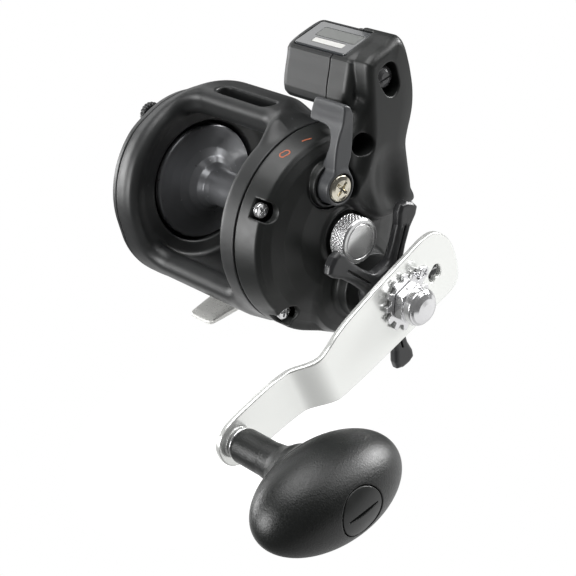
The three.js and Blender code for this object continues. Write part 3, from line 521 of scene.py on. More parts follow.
def lever_piece():
    f = Field((61.6, -8, 12.6), (79.2, 13, 47.6), 0.17)
    base = rod(f, 5.9, 70.6, 76.8, LEVER_Y, LEVER_Z, 0.6)
    side = poly(f.y, f.z, curved([(-1.4, 18), (3.4, 18), (4.6, 24.6), (6.7, 28), (8.9, 34.1), (10.0, 40.1),
                                  (9.4, 43.8), (8.3, 45.7), (6.8, 46.2), (5.8, 42.6), (4.8, 39.4), (2.2, 35.2),
                                  (0.3, 31.2), (-1.4, 26.4), (-3, 21)]))
    face = poly(f.x, f.z, curved([(71, 15), (76.7, 15), (76.8, 26), (77.0, 36), (77.8, 41), (78.3, 44.4),
                                  (77.2, 46.3), (72, 46.9), (66.2, 46.7), (64.2, 45.3), (62.4, 40.6),
                                  (63.0, 38.9), (67, 38.7), (71, 38.1), (72.8, 36.2), (73.1, 33.6),
                                  (72.0, 30), (70.8, 26.4)]))
    d = fuse(base, join(side, face, 0.7), 1.6)
    d = join(d, -rod(f, 5.0, 75.3, 90, LEVER_Y, LEVER_Z), 0.25)
    d = np.maximum(d, -rod(f, 1.5, 60, 90, LEVER_Y, LEVER_Z))
    d = fuse(d, np.maximum(rod(f, 2.2, 67, 71.5, LEVER_Y, LEVER_Z), 1.5 - f.rho(LEVER_Y, LEVER_Z)), 0.3)
    return skin("clutch_lever_skin", f, d)


def lever_screw_piece():
    f = Field((67.9, LEVER_Y - 5.2, LEVER_Z - 5.2), (78.4, LEVER_Y + 5.2, LEVER_Z + 5.2), 0.11)
    d = lathe(f, [(0, 75.6), (4.6, 75.6), (4.6, 76.5), (4.2, 77.0), (2.9, 77.4), (1.2, 77.6), (0, 77.65)],
              LEVER_Y, LEVER_Z)
    u, v = turned(f, LEVER_Y, LEVER_Z, 30)
    deep = 75.9 + 0.42 * np.hypot(u, v)
    cross = np.minimum(box2(u, v, 2.7, 0.55, 0.1), box2(u, v, 0.55, 2.7, 0.1))
    d = join(d, -np.maximum(cross, deep - f.x), 0.08)
    d = np.minimum(d, rod(f, 1.2, 68.2, 75.9, LEVER_Y, LEVER_Z, 0.2))
    return skin("lever_screw_head", f, d)


def cast_cap_piece():
    f = Field((69.9, -8.6, -8.6), (80.9, 8.6, 8.6), 0.12)
    rho, a = f.rho(), np.arctan2(f.z, f.y)
    d = lathe(f, [(0, 73.6), (7.3, 73.6), (7.9, 74.3), (7.9, 79.6), (7.2, 80.3), (0, 80.3)])
    turns = 34

    def ridge(sense):
        """1 on the crest of a ridge that winds one way or the other, 0 between ridges."""
        t = (a * turns / (2 * math.pi) + sense * f.x / 1.5) % 1.0
        return np.abs(t - 0.5) * 2
    knurl = np.minimum(ridge(1), ridge(-1))
    where = smooth((rho - 7.2) / 0.4) * smooth((f.x - 74.2) / 0.3) * smooth((79.7 - f.x) / 0.3)
    d = d + where * 0.62 * (1 - np.clip(knurl * 1.5, 0, 1))
    d = fuse(d, rod(f, 4.8, 70.2, 73.8), 0.3)
    d = dig(d, np.maximum(np.abs(rho - 5.9) - 0.12, 80.15 - f.x), 0.15)
    d = np.maximum(d, -rod(f, 2.4, 69, 77.6))
    return skin("cast_control_knob", f, d)


# ---------------------------------------------------------------- star, crank arm and knob
def star_piece():
    f = Field((80.8, HUB_Y - 34, HUB_Z - 34), (88.2, HUB_Y + 34, HUB_Z + 34), 0.22)
    d = lathe(f, [(0, 81.4), (9.2, 81.4), (10.2, 82.3), (10.2, 85.2), (9.0, 86.3), (0, 86.8)], HUB_Y, HUB_Z)
    half = [(4, 4.2), (9, 3.5), (17, 2.9), (23, 3.1), (27.4, 4.3), (30.2, 4.1), (31.2, 1.8)]
    outline = [(u, -v) for u, v in half] + half[::-1]
    for k in range(STAR_ARMS):
        u, v = turned(f, HUB_Y, HUB_Z, STAR_DEG + 360 / STAR_ARMS * k)
        limb = poly(u, v, outline)
        arm = join(limb, span(f.x, 82.0, 86.0), 1.5)
        groove = np.maximum(box2(u - 17.0, v, 6.4, 0.35, 0.3), 85.0 - f.x)
        arm = join(arm, -groove, 0.25)
        for m in range(3):
            rib = np.hypot(u - 30.9, f.x - 83.0 - 0.95 * m) - 0.45
            arm = fuse(arm, join(rib, np.abs(v) - 1.8, 0.3), 0.3)
        d = fuse(d, arm, 2.4)
    d = np.maximum(d, 3.4 - f.rho(HUB_Y, HUB_Z))
    return skin("star_drag_skin", f, d)


ARM_SHAPE = [
    (-16, -14.0), (-21.3, -12.2), (-25.0, -7), (-26.2, -1), (-25.6, 6), (-23.6, 11), (-20, 12.7), (-13, 12.9),
    (5, 13.0), (22, 12.9), (34, 12.4), (44, 11.2), (54, 9.6), (66, 8.5), (71, 8.4), (75, 7.8), (78.9, 5.2),
    (80.7, 1.2), (80.3, -3.6), (77.5, -7), (73, -8.6), (66, -8.9), (54, -8.4), (46, -7.2), (40, -6.8),
    (34, -8.0), (28, -10.0), (20, -11.4), (5, -12.7), (-8, -13.6)]


def arm_piece():
    f = Field((83.4, -27, -15.4), (93.6, 84, 14.6), 0.3)
    # the flat blade steps inwards once along its length
    step_at, run, drop, half_thick = 36.0, 12.0, 6.0, 1.1
    t = (f.y - step_at) / run
    mid = 91.9 - drop * smooth(t)
    steep = np.where((t > 0) & (t < 1), drop * 6 * t * (1 - t) / run, 0)
    flat = np.abs(f.x - mid) / np.sqrt(1 + steep ** 2) - half_thick
    d = join(poly(f.y, f.z, curved(ARM_SHAPE)), flat, 0.55)
    # holes for the shaft, the knob's post and the lock screw
    for along, across, r in ((0, 0, 4.3), (ARM, 0, 2.1), (-7.9, -5.6, 1.3)):
        d = join(d, r - np.hypot(f.y - along, f.z - across), 0.15)
    relief = poly(f.y, f.z, curved([(-17.9, 2.3), (-18.1, -0.4), (-16.4, -1.7), (-14.2, -0.9), (-12.5, 0.0),
                                    (-12.2, 2.0), (-13.2, 3.4), (-15.2, 2.7), (-16.5, 3.3)]))
    d = join(d, -relief, 0.3)
    return skin("crank_arm_skin", f, d, turn=(ARM_DEG, HUB_Y, HUB_Z))


def lock_plate_piece():
    f = Field((93.0, HUB_Y - 10.6, HUB_Z - 10.6), (95.0, HUB_Y + 10.6, HUB_Z + 10.6), 0.13)
    a = np.arctan2(f.z - HUB_Z, f.y - HUB_Y)
    rho = f.rho(HUB_Y, HUB_Z)
    count = 13
    teeth = 9.0 + np.clip(np.cos(a * count) * 3.0, -1, 1)
    d = join(rho - teeth, span(f.x, 93.3, 94.7), 0.25)
    d = np.maximum(d, 4.4 - rho)
    return skin("lock_plate_skin", f, d)


def nut_piece():
    f = Field((94.5, HUB_Y - 8.4, HUB_Z - 8.4), (105.4, HUB_Y + 8.4, HUB_Z + 8.4), 0.13)
    hexa = poly(f.y, f.z, arc(HUB_Y, HUB_Z, 7.5, 10, 310, 5))
    d = join(hexa, span(f.x, 94.9, 98.2), 0.2)
    d = join(d, lathe(f, [(0, 94), (6.6, 94.3), (7.6, 95.4), (7.6, 97.4), (6.7, 98.6), (0, 98.6)],
                      HUB_Y, HUB_Z), 0.1)
    cap = lathe(f, [(0, 97), (6.3, 97), (6.3, 100.9), (6.05, 101.3), (5.7, 101.5), (5.2, 102.2), (3.6, 103.1),
                    (1.8, 103.5), (0, 103.6)], HUB_Y, HUB_Z)
    d = np.minimum(d, cap)
    d = dig(d, np.maximum(np.abs(f.rho(HUB_Y, HUB_Z) - 6.3) - 0.16, np.abs(f.x - 98.3) - 0.25), 0.15)
    d = np.maximum(d, -rod(f, 3.3, 94, 100, HUB_Y, HUB_Z))
    return skin("handle_nut_skin", f, d)


def knob_piece():
    f = Field((88.2, -29, -17), (142.9, 29, 17), 0.36)
    x0 = 88.7
    egg = ball(f, (KNOB_MID_X, 0, 0), (15.9, 27.1, 15.9))
    neck = lathe(f, [(0, x0), (5.5, x0), (5.8, x0 + 1.0), (5.8, x0 + 12), (6.4, x0 + 17), (8.0, x0 + 22),
                     (0, x0 + 28)])
    d = fuse(egg, neck, 6.0)
    d = dig(d, np.maximum(np.abs(f.x - 0.06 * f.y - 118.5) - 0.16, -egg - 0.5), 0.2)
    d = join(d, -rod(f, 8.0, 132, 150), 0.25)
    d = np.maximum(d, -rod(f, 2.2, 80, 134))
    return skin("power_knob", f, d, turn=(KNOB_LEAN, EGG_Y, EGG_Z))


def knob_cap_piece():
    f = Field((137.0, -8.4, -8.4), (142.9, 8.4, 8.4), 0.14)
    d = rod(f, 7.72, 137.4, 150, 0, 0)
    d = join(d, ball(f, (KNOB_MID_X, 0, 0), (15.75, 27.1, 15.9)), 0.2)
    slot = box2(f.y, f.z, 5.9, 0.6 - 0.012 * f.y ** 2, 0.3)
    d = join(d, -np.maximum(slot, 140.2 - f.x), 0.15)
    return skin("knob_cap_skin", f, d, turn=(KNOB_LEAN + 5, EGG_Y, EGG_Z))


def post_piece():
    f = Field((82.6, EGG_Y - 4.2, EGG_Z - 4.2), (134.2, EGG_Y + 4.2, EGG_Z + 4.2), 0.14)
    d = lathe(f, [(0, 83.1), (3.2, 83.1), (3.8, 83.6), (3.8, 84.5), (0, 84.5)], EGG_Y, EGG_Z)
    d = np.minimum(d, rod(f, 1.8, 84, 133, EGG_Y, EGG_Z))
    d = np.minimum(d, rod(f, 3.2, 132.6, 133.8, EGG_Y, EGG_Z, 0.2))
    return skin("knob_post_skin", f, d)


def washers_piece():
    f = Field((87.0, EGG_Y - 6.0, EGG_Z - 6.0), (88.6, EGG_Y + 6.0, EGG_Z + 6.0), 0.1)
    rho = f.rho(EGG_Y, EGG_Z)
    d = join(rho - 5.2, span(f.x, 87.3, 88.3), 0.3)
    d = np.maximum(d, 2.1 - rho)
    return skin("knob_washer_skin", f, d)


def spacer_piece():
    f = Field((86.8, HUB_Y - 6.6, HUB_Z - 6.6), (90.8, HUB_Y + 6.6, HUB_Z + 6.6), 0.16)
    rho = f.rho(HUB_Y, HUB_Z)
    d = join(rho - 5.4, span(f.x, 87.1, 90.5), 0.4)
    d = np.maximum(d, 3.3 - rho)
    return skin("shaft_spacer_skin", f, d)


def pan_screw(name, y, z, x0, x1, head, r, deg):
    """A cross-head screw along x from x0 to its head's face at x1. head and r are the radii."""
    s = 1 if x1 > x0 else -1
    wide = head + 0.5
    f = Field((min(x0, x1) - 0.4, y - wide, z - wide), (max(x0, x1) + 0.4, y + wide, z + wide), 0.1)
    below = (x1 - f.x) * s
    rho = f.rho(y, z)
    d = join(rho - head, np.abs(below - 0.9) - 0.9, 0.45)
    u, v = turned(f, y, z, deg)
    long, thin = head * 0.62, head * 0.13
    cross = np.minimum(box2(u, v, long, thin, 0.05), box2(u, v, thin, long, 0.05))
    d = join(d, -np.maximum(cross, below - 1.0 + 0.25 * np.hypot(u, v)), 0.06)
    half = abs(x1 - x0) / 2
    d = np.minimum(d, np.maximum(rho - r, np.abs(below - half - 0.4) - half + 0.4))
    return skin(name, f, d)


# ---------------------------------------------------------------- spool, level wind, foot
def spool_piece():
    f = Field((-3.2, -21.6, -21.6), (52.8, 21.6, 21.6), 0.3)
    m = 50.4                               # the right flange's inner edge
    d = lathe(f, [
        (0, -2.6), (5, -2.6), (6.6, -1.4), (17, -0.9), (19.4, -2.0), (20.4, -2.2), (21, -1.8), (21, 0.0),
        (20.5, 0.45), (19.4, 0.6), (16.6, 1.2), (13.2, 2.2), (10.2, 3.6), (8.2, 5.4), (6.9, 7.6), (6.5, 10),
        (6.5, m - 12), (6.9, m - 9), (8.2, m - 6.6), (10.2, m - 4.6), (13.2, m - 3.1), (16.6, m - 2.0),
        (19.4, m - 1.3), (20.5, m - 1.1), (21, m - 0.7), (21, m + 1.0), (20.4, m + 1.4), (19.4, m + 1.4),
        (17, m + 0.3), (6.6, m + 0.8), (5, m + 2), (0, m + 2)])
    d = join(d, 2.4 - f.rho(), 0.2)
    return skin("spool_skin", f, d)


def guide_piece():
    f = Field((20.8, 17.8, -21.2), (32.2, 34.2, 11.4), 0.2)
    rho = f.rho(WORM_Y, WORM_Z)
    d = join(join(rho - 7.4, 5.6 - rho, 0.5), span(f.x, 21.5, 31.5), 0.7)
    # the pawl's post below, and the eye the line runs through above
    x = f.x - 26.5
    flat = np.hypot(x, f.y - WORM_Y)
    d = fuse(d, np.maximum(flat - 4.2, span(f.z, -21.1, -13.9)), 1.0)
    shape = box2(x, f.z - 4.5, 4.4, 6.1, 2.2)
    hole = box2(x, f.z - 5.5, 2.3, 3.8, 2.0)
    eye = join(join(shape, np.abs(f.y - 26) - 2.8, 0.9), -hole, 1.2)
    d = fuse(d, eye, 1.0)
    d = np.maximum(d, 5.6 - rho)
    d = np.maximum(d, -np.maximum(flat - 2.1, f.z + 9.6))
    return skin("line_guide_skin", f, d)


def guide_tube_piece():
    f = Field((-0.6, 20.4, -13.1), (51.1, 31.6, -1.9), 0.22)
    rho = f.rho(WORM_Y, WORM_Z)
    d = join(join(rho - 5.2, 3.6 - rho, 0.3), span(f.x, -0.4, 50.8), 0.3)
    mouth = box2(f.x - 25.7, f.y - WORM_Y, 22.7, 2.2, 2.2)
    d = join(d, -np.maximum(mouth, f.z - WORM_Z), 0.3)
    return skin("level_wind_tube_skin", f, d)


def worm_piece():
    f = Field((-0.4, 22.6, -10.9), (62.9, 29.4, -4.1), 0.16)
    rho = f.rho(WORM_Y, WORM_Z)
    a = np.arctan2(f.z - WORM_Z, f.y - WORM_Y)
    d = rod(f, 2.1, 1.0, 62.6, WORM_Y, WORM_Z, 0.3)
    body = join(rho - 3.0, span(f.x, 4.6, 47.4), 0.3)
    lead = 7.4

    def thread(sense):
        t = (f.x / lead + sense * a / (2 * math.pi)) % 1.0
        return np.minimum(t, 1 - t) * lead * 0.62 - 0.62
    groove = np.minimum(thread(1), thread(-1))
    body = join(body, -np.maximum(groove, 2.25 - rho), 0.12)
    d = np.minimum(d, body)
    return skin("level_wind_worm_skin", f, d)


def foot_piece():
    f = Field((11.4, -32.4, -38.6), (29.0, 36.4, -32.6), 0.22)
    x, y = f.x - ORIGIN[0], f.y - ORIGIN[1]
    quarter = [(7.6, 14), (6.2, 29), (6.0, 31.2), (5.4, 32.4), (4, 33)]
    half = quarter + [(-u, v) for u, v in quarter[::-1]]
    plan = half + [(-u, -v) for u, v in half]
    droop = 1.215 * smooth((np.abs(x) - 3.5) / 8)
    thinner = 0.25 * smooth((np.abs(y) - 24) / 9)
    d = join(poly(x, y, plan), np.abs(f.z + 34.6 + droop) - 1.1 + thinner, 0.55)
    for screw_x in (-4.5, 4.5):
        for screw_y in (-15, 11):
            d = join(d, 1.6 - np.hypot(x - screw_x, y - screw_y), 0.2)
    return skin("foot_skin", f, d)


def clicker_piece():
    f = Field((-18.9, CLICK_Y - 5, CLICK_Z - 5), (-9.4, CLICK_Y + 5, CLICK_Z + 5), 0.14)
    rho = f.rho(CLICK_Y, CLICK_Z)
    a = np.arctan2(f.z - CLICK_Z, f.y - CLICK_Y)
    d = lathe(f, [(0, -18.4), (3.2, -18.4), (4.1, -17.9), (4.4, -17.2), (4.3, -15.6), (0, -15.6)],
              CLICK_Y, CLICK_Z)
    d = d + 0.22 * smooth((rho - 3.6) / 0.4) * (0.5 + 0.5 * np.cos(a * 20))
    d = dig(d, ball(f, (-20.6, CLICK_Y, CLICK_Z), (3.2, 3.0, 3.0)), 0.5)
    d = np.minimum(d, rod(f, 1.5, -16, -10.5, CLICK_Y, CLICK_Z))
    d = np.minimum(d, rod(f, 2.0, -10.9, -9.8, CLICK_Y, CLICK_Z, 0.2))
    return skin("clicker_button_skin", f, d)


def reset_piece():
    f = Field((65.9, COUNT_Y - 5.7, COUNT_Z - 5.7), (75.8, COUNT_Y + 5.7, COUNT_Z + 5.7), 0.13)
    rho = f.rho(COUNT_Y, COUNT_Z)
    a = np.arctan2(f.z - COUNT_Z, f.y - COUNT_Y)
    d = lathe(f, [(0, 66.2), (4.7, 66.2), (4.7, 72.0), (4.3, 73.6), (3.3, 74.9), (1.8, 75.6), (0, 75.8)],
              COUNT_Y, COUNT_Z)
    d = d + 0.25 * (0.5 + 0.5 * np.cos(a * 20)) * smooth((rho - 3.9) / 0.5) * smooth((72.6 - f.x) / 0.5)
    d = join(d, -np.maximum(np.abs(f.z - COUNT_Z + 0.4) - 0.35, 74.6 - f.x), 0.2)
    return skin("counter_reset_dial", f, d)


# ---------------------------------------------------------------- materials
def node(tree, kind, **values):
    n = tree.nodes.new(kind)
    for k, v in values.items():
        if k in n.inputs:
            n.inputs[k].default_value = v
        else:
            setattr(n, k, v)
    return n


def surface(name, color, rough, metal=0.0, grain=0.0, grain_mm=0.35, mottle=0.06, mottle_mm=9.0, vary=0.05,
            edge=None, brush=None, brush_mm=0.12, brush_deep=0.0, **sockets):
    """A shader with colour drift, roughness drift, a fine grain or brushed bump and lighter edges, partly wear
    and partly a painted highlight.

    edge is the lighter edges' colour and strength, partly wear and partly a painted highlight where edges catch
    light. brush is how far the brushing is squeezed along x, y and z, and may end with a turn about x in
    degrees."""
    m = bpy.data.materials.new(name)
    m.use_nodes = True
    t = m.node_tree
    link = t.links.new
    bsdf = t.nodes["Principled BSDF"]
    bsdf.inputs["Metallic"].default_value = metal
    bsdf.inputs["Roughness"].default_value = rough
    for k, v in sockets.items():
        bsdf.inputs[k.replace("_", " ")].default_value = v
    co = node(t, "ShaderNodeTexCoord")
    drift = node(t, "ShaderNodeTexNoise", Scale=1000 / mottle_mm, Detail=4.0, Roughness=0.6)
    link(co.outputs["Object"], drift.inputs["Vector"])
    mix = node(t, "ShaderNodeMix", data_type="RGBA")
    low = [max(0, c * (1 - mottle)) for c in color] + [1]
    high = [min(1, c * (1 + mottle)) for c in color] + [1]
    mix.inputs[6].default_value, mix.inputs[7].default_value = low, high
    link(drift.outputs["Fac"], mix.inputs[0])
    last = mix.outputs[2]
    # a lighter colour on sharp edges: partly wear, partly a painted highlight where edges catch light
    if edge:
        geo = node(t, "ShaderNodeNewGeometry")
        ramp = node(t, "ShaderNodeMapRange")
        ramp.inputs["From Min"].default_value, ramp.inputs["From Max"].default_value = 0.53, 0.62
        ramp.inputs["To Max"].default_value = edge[3]
        link(geo.outputs["Pointiness"], ramp.inputs["Value"])
        edge_wear_and_highlight = node(t, "ShaderNodeMix", data_type="RGBA")
        edge_wear_and_highlight.inputs[7].default_value = list(edge[:3]) + [1]
        link(ramp.outputs["Result"], edge_wear_and_highlight.inputs[0])
        link(last, edge_wear_and_highlight.inputs[6])
        last = edge_wear_and_highlight.outputs[2]
    link(last, bsdf.inputs["Base Color"])
    haze = node(t, "ShaderNodeTexNoise", Scale=1000 / (mottle_mm * 0.5), Detail=6.0, Roughness=0.65)
    link(co.outputs["Object"], haze.inputs["Vector"])
    gloss = node(t, "ShaderNodeMapRange")
    gloss.inputs["From Min"].default_value, gloss.inputs["From Max"].default_value = 0.3, 0.7
    gloss.inputs["To Min"].default_value = max(0.02, rough - vary)
    gloss.inputs["To Max"].default_value = min(1, rough + vary)
    link(haze.outputs["Fac"], gloss.inputs["Value"])
    link(gloss.outputs["Result"], bsdf.inputs["Roughness"])
    normal = None
    if grain:
        fine = node(t, "ShaderNodeTexNoise", Scale=1000 / grain_mm, Detail=3.0, Roughness=0.6)
        link(co.outputs["Object"], fine.inputs["Vector"])
        bump = node(t, "ShaderNodeBump", Strength=grain, Distance=0.0001)
        link(fine.outputs["Fac"], bump.inputs["Height"])
        normal = bump
    if brush:
        squeeze = node(t, "ShaderNodeMapping")
        if len(brush) > 3:
            squeeze.inputs["Rotation"].default_value = (math.radians(brush[3]), 0, 0)
        squeeze.inputs["Scale"].default_value = brush[:3]
        link(co.outputs["Object"], squeeze.inputs["Vector"])
        lines = node(t, "ShaderNodeTexNoise", Scale=1000 / brush_mm, Detail=2.0, Roughness=0.5)
        link(squeeze.outputs["Vector"], lines.inputs["Vector"])
        bump = node(t, "ShaderNodeBump", Strength=brush_deep, Distance=0.00003)
        link(lines.outputs["Fac"], bump.inputs["Height"])
        if normal:
            link(normal.outputs["Normal"], bump.inputs["Normal"])
        normal = bump
    if normal:
        link(normal.outputs["Normal"], bsdf.inputs["Normal"])
    return m


GRAPHITE = surface("graphite_plastic", (0.015, 0.0158, 0.016), 0.43, grain=0.16, grain_mm=0.28, mottle=0.05,
                   edge=(0.09, 0.095, 0.10, 0.35))
# a darker copy of the graphite plastic for the right side plate: painted shade, because the plate faces away
# from the lamps
GRAPHITE_SHADED_SIDE = surface("graphite_side_plate_shaded", (0.0095, 0.0105, 0.010), 0.40, grain=0.20, grain_mm=0.30,
                        mottle=0.05, edge=(0.07, 0.074, 0.078, 0.35))
LEVER = surface("lever_plastic", (0.046, 0.048, 0.051), 0.40, grain=0.14, grain_mm=0.3,
                edge=(0.10, 0.105, 0.11, 0.4))
SPOOL = surface("spool_anodised", (0.15, 0.153, 0.16), 0.32, metal=0.55, brush=(0.04, 1, 1), brush_mm=0.25,
                brush_deep=0.08, mottle=0.1, edge=(0.5, 0.5, 0.5, 0.5))
STEEL = surface("brushed_steel", (0.62, 0.62, 0.60), 0.30, metal=1.0, brush=(1, 0.06, 1), brush_mm=0.2,
                brush_deep=0.25)
BRIGHT = surface("polished_aluminium", (0.92, 0.93, 0.905), 0.22, metal=0.66, vary=0.03, mottle=0.02,
                 brush=(1, 0.05, 1, -9), brush_mm=0.25, brush_deep=0.05)
CHROME = surface("bright_chrome", (0.76, 0.76, 0.77), 0.15, metal=0.86, vary=0.03, mottle=0.03)
KNURL = surface("knurled_chrome", (0.62, 0.62, 0.625), 0.20, metal=0.85, vary=0.04, mottle=0.04)
NICKEL = surface("warm_nickel", (0.66, 0.62, 0.52), 0.18, metal=1.0, vary=0.05, mottle=0.06, mottle_mm=2)
BRASS = surface("machined_brass", (0.62, 0.44, 0.16), 0.28, metal=1.0)
ACETAL = surface("natural_acetal", (0.72, 0.70, 0.63), 0.5, mottle=0.03)
STAR = surface("satin_black", (0.018, 0.0185, 0.0195), 0.33, grain=0.10, grain_mm=0.3,
               edge=(0.06, 0.06, 0.065, 0.4))
GRIP = surface("grip_rubber", (0.008, 0.009, 0.0085), 0.36, grain=0.95, grain_mm=0.55, mottle=0.12,
               mottle_mm=1.2, vary=0.10)
GRIP_CAP = surface("grip_cap", (0.012, 0.013, 0.0125), 0.36, grain=0.10, grain_mm=0.3)
FIBRE = surface("drag_fibre", (0.03, 0.026, 0.02), 0.9, grain=0.4, grain_mm=0.3)
WHITE = surface("digit_white", (0.55, 0.55, 0.53), 0.5, mottle=0.02)
LENS = surface("smoked_lens", (0.05, 0.053, 0.056), 0.10, mottle=0.05, Coat_Weight=1.0, Coat_Roughness=0.03)
LABEL = surface("counter_face", (0.15, 0.155, 0.15), 0.35, mottle=0.04, mottle_mm=2)
# a lighter, less metallic copy of the brushed steel for the foot: painted light, since the reel blocks the
# foot's reflections of the lamps
FOOT_LIT_STEEL = surface("foot_steel_lit", (0.86, 0.86, 0.83), 0.28, metal=0.30, brush=(1, 0.06, 1), brush_mm=0.2,
               brush_deep=0.25)
RESET = surface("reset_knob", (0.05, 0.05, 0.052), 0.25)
ORANGE = surface("orange_ink", (0.42, 0.10, 0.035), 0.5, mottle=0.1, mottle_mm=0.6)
SHADE = {
    "graphite_body": GRAPHITE, "spool_metal": SPOOL, "steel": STEEL, "bright_arm": BRIGHT,
    "bright_chrome": CHROME, "warm_nickel": NICKEL, "gear_brass": BRASS, "gear_plastic": ACETAL,
    "black_star": STAR, "grip_black": GRIP, "friction_fibre": FIBRE, "window_lens": LENS, "digit_white": WHITE}


# ---------------------------------------------------------------- the assembly
for part in frame["record"]["subparts"]:
    cad = frame["nodes"][part["node"]]
    cad.data.materials.clear()
    cad.data.materials.append(SHADE[part["material_slot"]])


def place(ob, body, material, slot, *nodes):
    """Ride a piece on its body, in place of these CAD nodes."""
    ob.data.materials.append(material)
    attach(ob, body)
    if nodes:
        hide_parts(*nodes)


place(frame_piece(), "reel_body", GRAPHITE, "graphite_body", "frame")
place(left_plate_piece(), "reel_body", GRAPHITE, "graphite_body", "left_side_plate")
place(side_plate_piece(), "reel_body", GRAPHITE_SHADED_SIDE, "graphite_body", "right_side_plate")
place(cover_piece(), "reel_body", GRAPHITE, "graphite_body", "counter_cover")
place(lens_piece(), "reel_body", LENS, "window_lens", "counter_lens")
place(strip_piece("counter_face_plate", FACE_STRIP), "reel_body", LABEL, "window_lens")
place(strip_piece("counter_digit_strip", DIGIT_STRIP), "reel_body", WHITE, "digit_white")
place(mark_piece("clutch_mark_out", 62.5, 104.2, True), "reel_body", ORANGE, "digit_white")
place(mark_piece("clutch_mark_in", 63.7, 89.0, False), "reel_body", ORANGE, "digit_white")
place(foot_piece(), "reel_body", FOOT_LIT_STEEL, "steel", "foot")
place(guide_tube_piece(), "reel_body", STEEL, "steel", "level_wind_tube")
place(spool_piece(), "spool", SPOOL, "spool_metal", "spool")
place(lever_piece(), "clutch_lever", LEVER, "graphite_body", "clutch_lever")
place(lever_screw_piece(), "clutch_lever", NICKEL, "warm_nickel", "lever_screw")
place(cast_cap_piece(), "cast_control", KNURL, "bright_chrome", "cast_control_cap")
place(star_piece(), "star_drag", STAR, "black_star", "star_drag")
place(arm_piece(), "crank", BRIGHT, "bright_arm", "handle_arm")
place(lock_plate_piece(), "crank", CHROME, "bright_chrome", "handle_lock_plate")
place(nut_piece(), "crank", CHROME, "bright_chrome", "handle_nut")
place(spacer_piece(), "crank", STEEL, "steel", "shaft_spacer")
place(post_piece(), "crank", STEEL, "steel", "knob_post")
place(washers_piece(), "crank", CHROME, "bright_chrome", "knob_washer")
place(knob_piece(), "handle_knob", GRIP, "grip_black", "handle_knob")
place(knob_cap_piece(), "handle_knob", GRIP_CAP, "grip_black", "knob_cap")
place(guide_piece(), "line_guide", CHROME, "steel", "line_guide")
place(worm_piece(), "level_wind_worm", STEEL, "steel", "level_wind_worm")
place(clicker_piece(), "clicker_button", GRAPHITE, "graphite_body", "clicker_button")
place(reset_piece(), "counter_reset", RESET, "black_star", "counter_reset_knob")
for i, (y, z) in enumerate(SIDE_SCREWS):
    place(pan_screw(f"side_screw_{i + 1}_head", y, z, 58.4, 64.6, 2.6, 1.3, 20 + 40 * i),
          "reel_body", CHROME, "steel", f"side_plate_screw_{i + 1}")
for i, (y, z) in enumerate(LEFT_SCREWS):
    place(pan_screw(f"left_screw_{i + 1}_head", y, z, -8.6, -13.9, 2.7, 1.3, 15 + 50 * i),
          "reel_body", CHROME, "steel", f"left_plate_screw_{i + 1}")
place(pan_screw("lock_screw_head", *on_arm(-8.8, -6.1), 90.4, 96.6, 2.2, 0.8, 30),
      "crank", CHROME, "bright_chrome", "handle_lock_screw")


# ---------------------------------------------------------------- stage, light, camera
FLOOR_Z = -0.075


def floor():
    """A white floor to the camera, that lights the reel from near it more than from afar."""
    n, size = 24, 3.0
    verts = [(size * (i / n - 0.5) * 2, size * (j / n - 0.5) * 2, FLOOR_Z)
             for i in range(n + 1) for j in range(n + 1)]
    faces = [(i * (n + 1) + j, (i + 1) * (n + 1) + j, (i + 1) * (n + 1) + j + 1, i * (n + 1) + j + 1)
             for i in range(n) for j in range(n)]
    me = bpy.data.meshes.new("floor")
    me.from_pydata(verts, [], faces)
    ob = bpy.data.objects.new("floor", me)
    bpy.context.scene.collection.objects.link(ob)
    mat = bpy.data.materials.new("floor_white")
    mat.use_nodes = True
    t = mat.node_tree
    link = t.links.new
    t.nodes.remove(t.nodes["Principled BSDF"])
    co = node(t, "ShaderNodeTexCoord")

    def pool(x, y, wide, deep):
        """1 at a spot on the floor, falling to 0 at the edge of an ellipse about it."""
        where = node(t, "ShaderNodeMapping", vector_type="TEXTURE")
        where.inputs["Location"].default_value = (x, y, FLOOR_Z)
        where.inputs["Scale"].default_value = (wide, deep, 1.0)
        spot = node(t, "ShaderNodeTexGradient", gradient_type="SPHERICAL")
        link(co.outputs["Object"], where.inputs["Vector"])
        link(where.outputs["Vector"], spot.inputs["Vector"])
        return spot.outputs["Fac"]

    def larger(first, second):
        most = node(t, "ShaderNodeMath", operation="MAXIMUM")
        link(first, most.inputs[0])
        link(second, most.inputs[1])
        return most.outputs["Value"]
    crank_side = node(t, "ShaderNodeMapRange")
    crank_side.interpolation_type = "SMOOTHSTEP"
    crank_side.inputs["From Max"].default_value = 0.55
    crank_side.inputs["To Min"].default_value, crank_side.inputs["To Max"].default_value = 0.12, 1.0
    link(pool(0.22, 0.11, 0.26, 0.32), crank_side.inputs["Value"])
    below_reel = node(t, "ShaderNodeMath", operation="MULTIPLY")
    below_reel.inputs[1].default_value = 1.7
    link(pool(-0.03, -0.02, 0.15, 0.16), below_reel.inputs[0])
    camera_ray = t.nodes.new("ShaderNodeLightPath").outputs["Is Camera Ray"]
    glow = node(t, "ShaderNodeEmission", Color=(1, 1, 1, 1))
    link(larger(larger(below_reel.outputs["Value"], crank_side.outputs["Result"]), camera_ray),
         glow.inputs["Strength"])
    link(glow.outputs[0], t.nodes["Material Output"].inputs["Surface"])
    me.materials.append(mat)


floor()
scene = bpy.context.scene
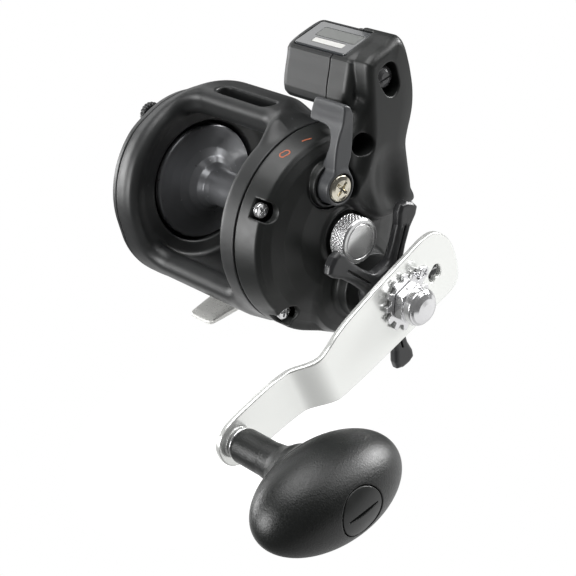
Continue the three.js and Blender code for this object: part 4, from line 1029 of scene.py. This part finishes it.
# a white backdrop to the camera, and a dim fill light to the reel
world = bpy.data.worlds.new("studio")
scene.world = world
world.use_nodes = True
sky = world.node_tree
sky.nodes["Background"].inputs["Color"].default_value = (1, 1, 1, 1)
backdrop = node(sky, "ShaderNodeMath", operation="MAXIMUM")
backdrop.inputs[1].default_value = 0.10
sky.links.new(sky.nodes.new("ShaderNodeLightPath").outputs["Is Camera Ray"], backdrop.inputs[0])
sky.links.new(backdrop.outputs["Value"], sky.nodes["Background"].inputs["Strength"])
scene.view_settings.view_transform = "Standard"
scene.cycles.use_denoising = True


def softbox(name, at, aim, size, power):
    light = bpy.data.lights.new(name, "AREA")
    light.shape = "RECTANGLE"
    light.size, light.size_y = size
    light.energy = power
    ob = bpy.data.objects.new(name, light)
    scene.collection.objects.link(ob)
    ob.location = at
    ob.rotation_euler = (Vector(aim) - Vector(at)).to_track_quat("-Z", "Y").to_euler()


softbox("top", (0.0, 0.0, 0.75), (0.03, 0.0, 0.0), (0.5, 0.7), 5)
softbox("left_rear", (-0.22, -0.80, 0.27), (0.0, 0.0, 0.03), (0.55, 0.5), 8)
softbox("front_left", (-0.75, 0.25, 0.35), (0.0, 0.0, 0.03), (0.6, 0.6), 1.5)
softbox("left_low", (-0.80, -0.30, 0.06), (0.0, 0.0, 0.03), (0.5, 0.40), 4.5)
softbox("right_high", (0.55, 0.45, 0.55), (0.06, 0.0, 0.03), (0.5, 0.5), 2.5)
softbox("front_right", (0.32, 0.80, 0.22), (0.10, -0.05, 0.0), (0.35, 0.35), 9)

cam = bpy.data.cameras.new("camera")
cam.sensor_width = 36.0
cam.lens = 93.93
cam_ob = bpy.data.objects.new("camera", cam)
scene.collection.objects.link(cam_ob)
forward, up = Vector((-0.684, 0.480, -0.549)).normalized(), Vector((-0.294, 0.508, 0.810))
right = forward.cross(up).normalized()
up = right.cross(forward)
cam_ob.matrix_world = Matrix((
    (right.x, up.x, -forward.x, 0.3827), (right.y, up.y, -forward.y, -0.2609),
    (right.z, up.z, -forward.z, 0.2964), (0, 0, 0, 1)))   # its last column is where the camera stands
scene.camera = cam_ob
